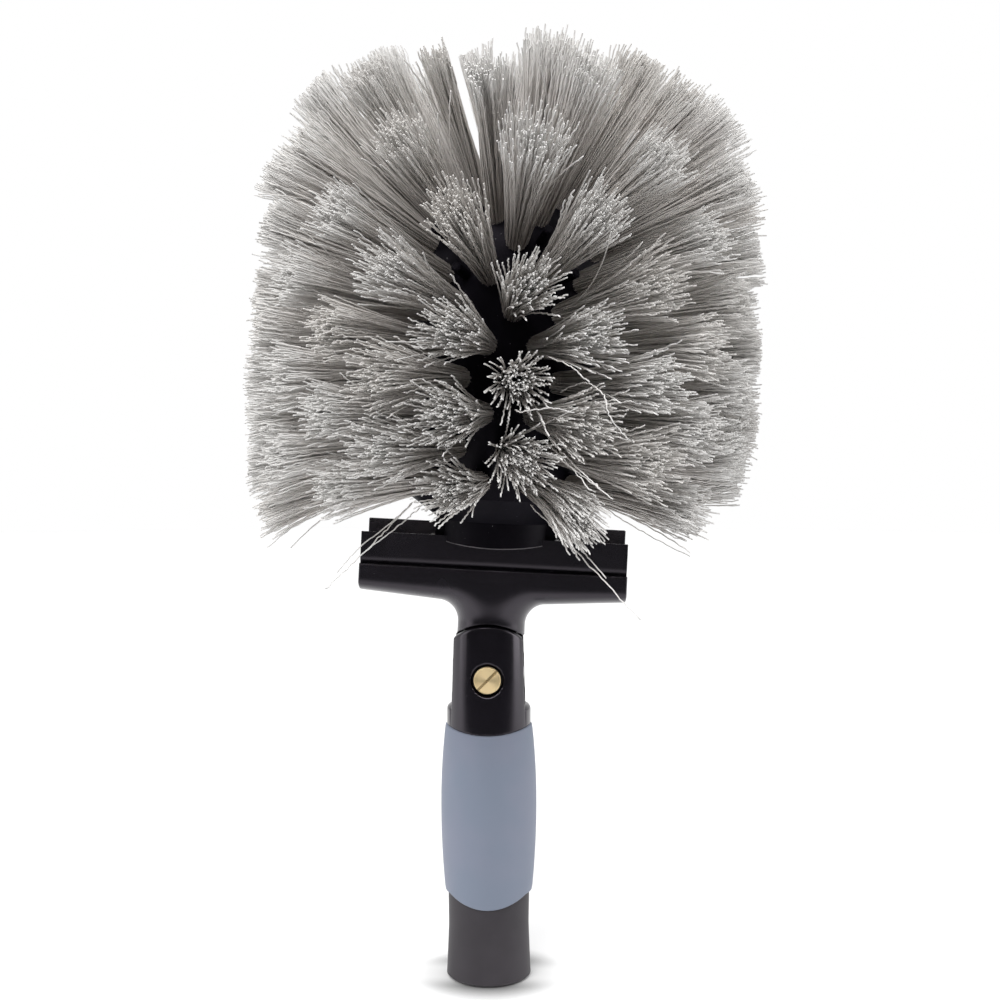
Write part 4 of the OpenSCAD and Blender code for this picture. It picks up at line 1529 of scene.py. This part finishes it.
class COBWEB_OT_head(bpy.types.Operator):
    """Finish the head holder, the brush bar and the small parts"""

    bl_idname = "cobweb.head"
    bl_label = "Head"

    def execute(self, context):
        settings = context.scene.cobweb_head
        make_holder(settings)
        make_bar(settings)
        make_foot_burr()
        paint_nodes({
            "core_foot": "core_plastic", "core_shell": "core_plastic",
            "friction_washer_front": "washer_plastic", "friction_washer_rear": "washer_plastic",
            "holder_screws": "steel", "core_screws": "steel"})
        return {"FINISHED"}


class COBWEB_OT_core(bpy.types.Operator):
    """Make the core's skin and its pegs"""

    bl_idname = "cobweb.core"
    bl_label = "Core"

    def execute(self, context):
        make_core_skin()
        make_pegs(context.scene.cobweb_head)
        return {"FINISHED"}


class COBWEB_OT_bristles(bpy.types.Operator):
    """Make the rows of filaments"""

    bl_idname = "cobweb.bristles"
    bl_label = "Bristles"

    def execute(self, context):
        settings = context.scene.cobweb_bristles
        make_rows(settings)
        make_strays(settings)
        return {"FINISHED"}


class COBWEB_PT_panel(bpy.types.Panel):
    bl_idname = "COBWEB_PT_panel"
    bl_label = "Cobweb Brush"
    bl_space_type = "VIEW_3D"
    bl_region_type = "UI"
    bl_category = "Cobweb Brush"

    def draw(self, context):
        for operator in OPERATORS:
            self.layout.operator(operator.bl_idname)
        for name in SETTINGS:
            group = getattr(context.scene, name)
            box = self.layout.box()
            for title in group.bl_rna.properties.keys():
                if title not in {"rna_type", "name"}:
                    box.prop(group, title)


SETTINGS = {
    "cobweb_stage": StageSettings,
    "cobweb_handle": HandleSettings,
    "cobweb_head": HeadSettings,
    "cobweb_bristles": BristleSettings,
}
OPERATORS = [COBWEB_OT_stage, COBWEB_OT_handle, COBWEB_OT_head, COBWEB_OT_core, COBWEB_OT_bristles]


def register():
    for kind in [*SETTINGS.values(), *OPERATORS, COBWEB_PT_panel]:
        bpy.utils.register_class(kind)
    for name, kind in SETTINGS.items():
        setattr(bpy.types.Scene, name, PointerProperty(type=kind))


def unregister():
    for name in SETTINGS:
        delattr(bpy.types.Scene, name)
    for kind in [COBWEB_PT_panel, *reversed(OPERATORS), *reversed(SETTINGS.values())]:
        bpy.utils.unregister_class(kind)


def main():
    register()
    make_finishes(bpy.context.scene)
    bpy.ops.cobweb.stage()
    bpy.ops.cobweb.handle()
    bpy.ops.cobweb.head()
    bpy.ops.cobweb.core()
    bpy.ops.cobweb.bristles()


if __name__ == "__main__":
    main()
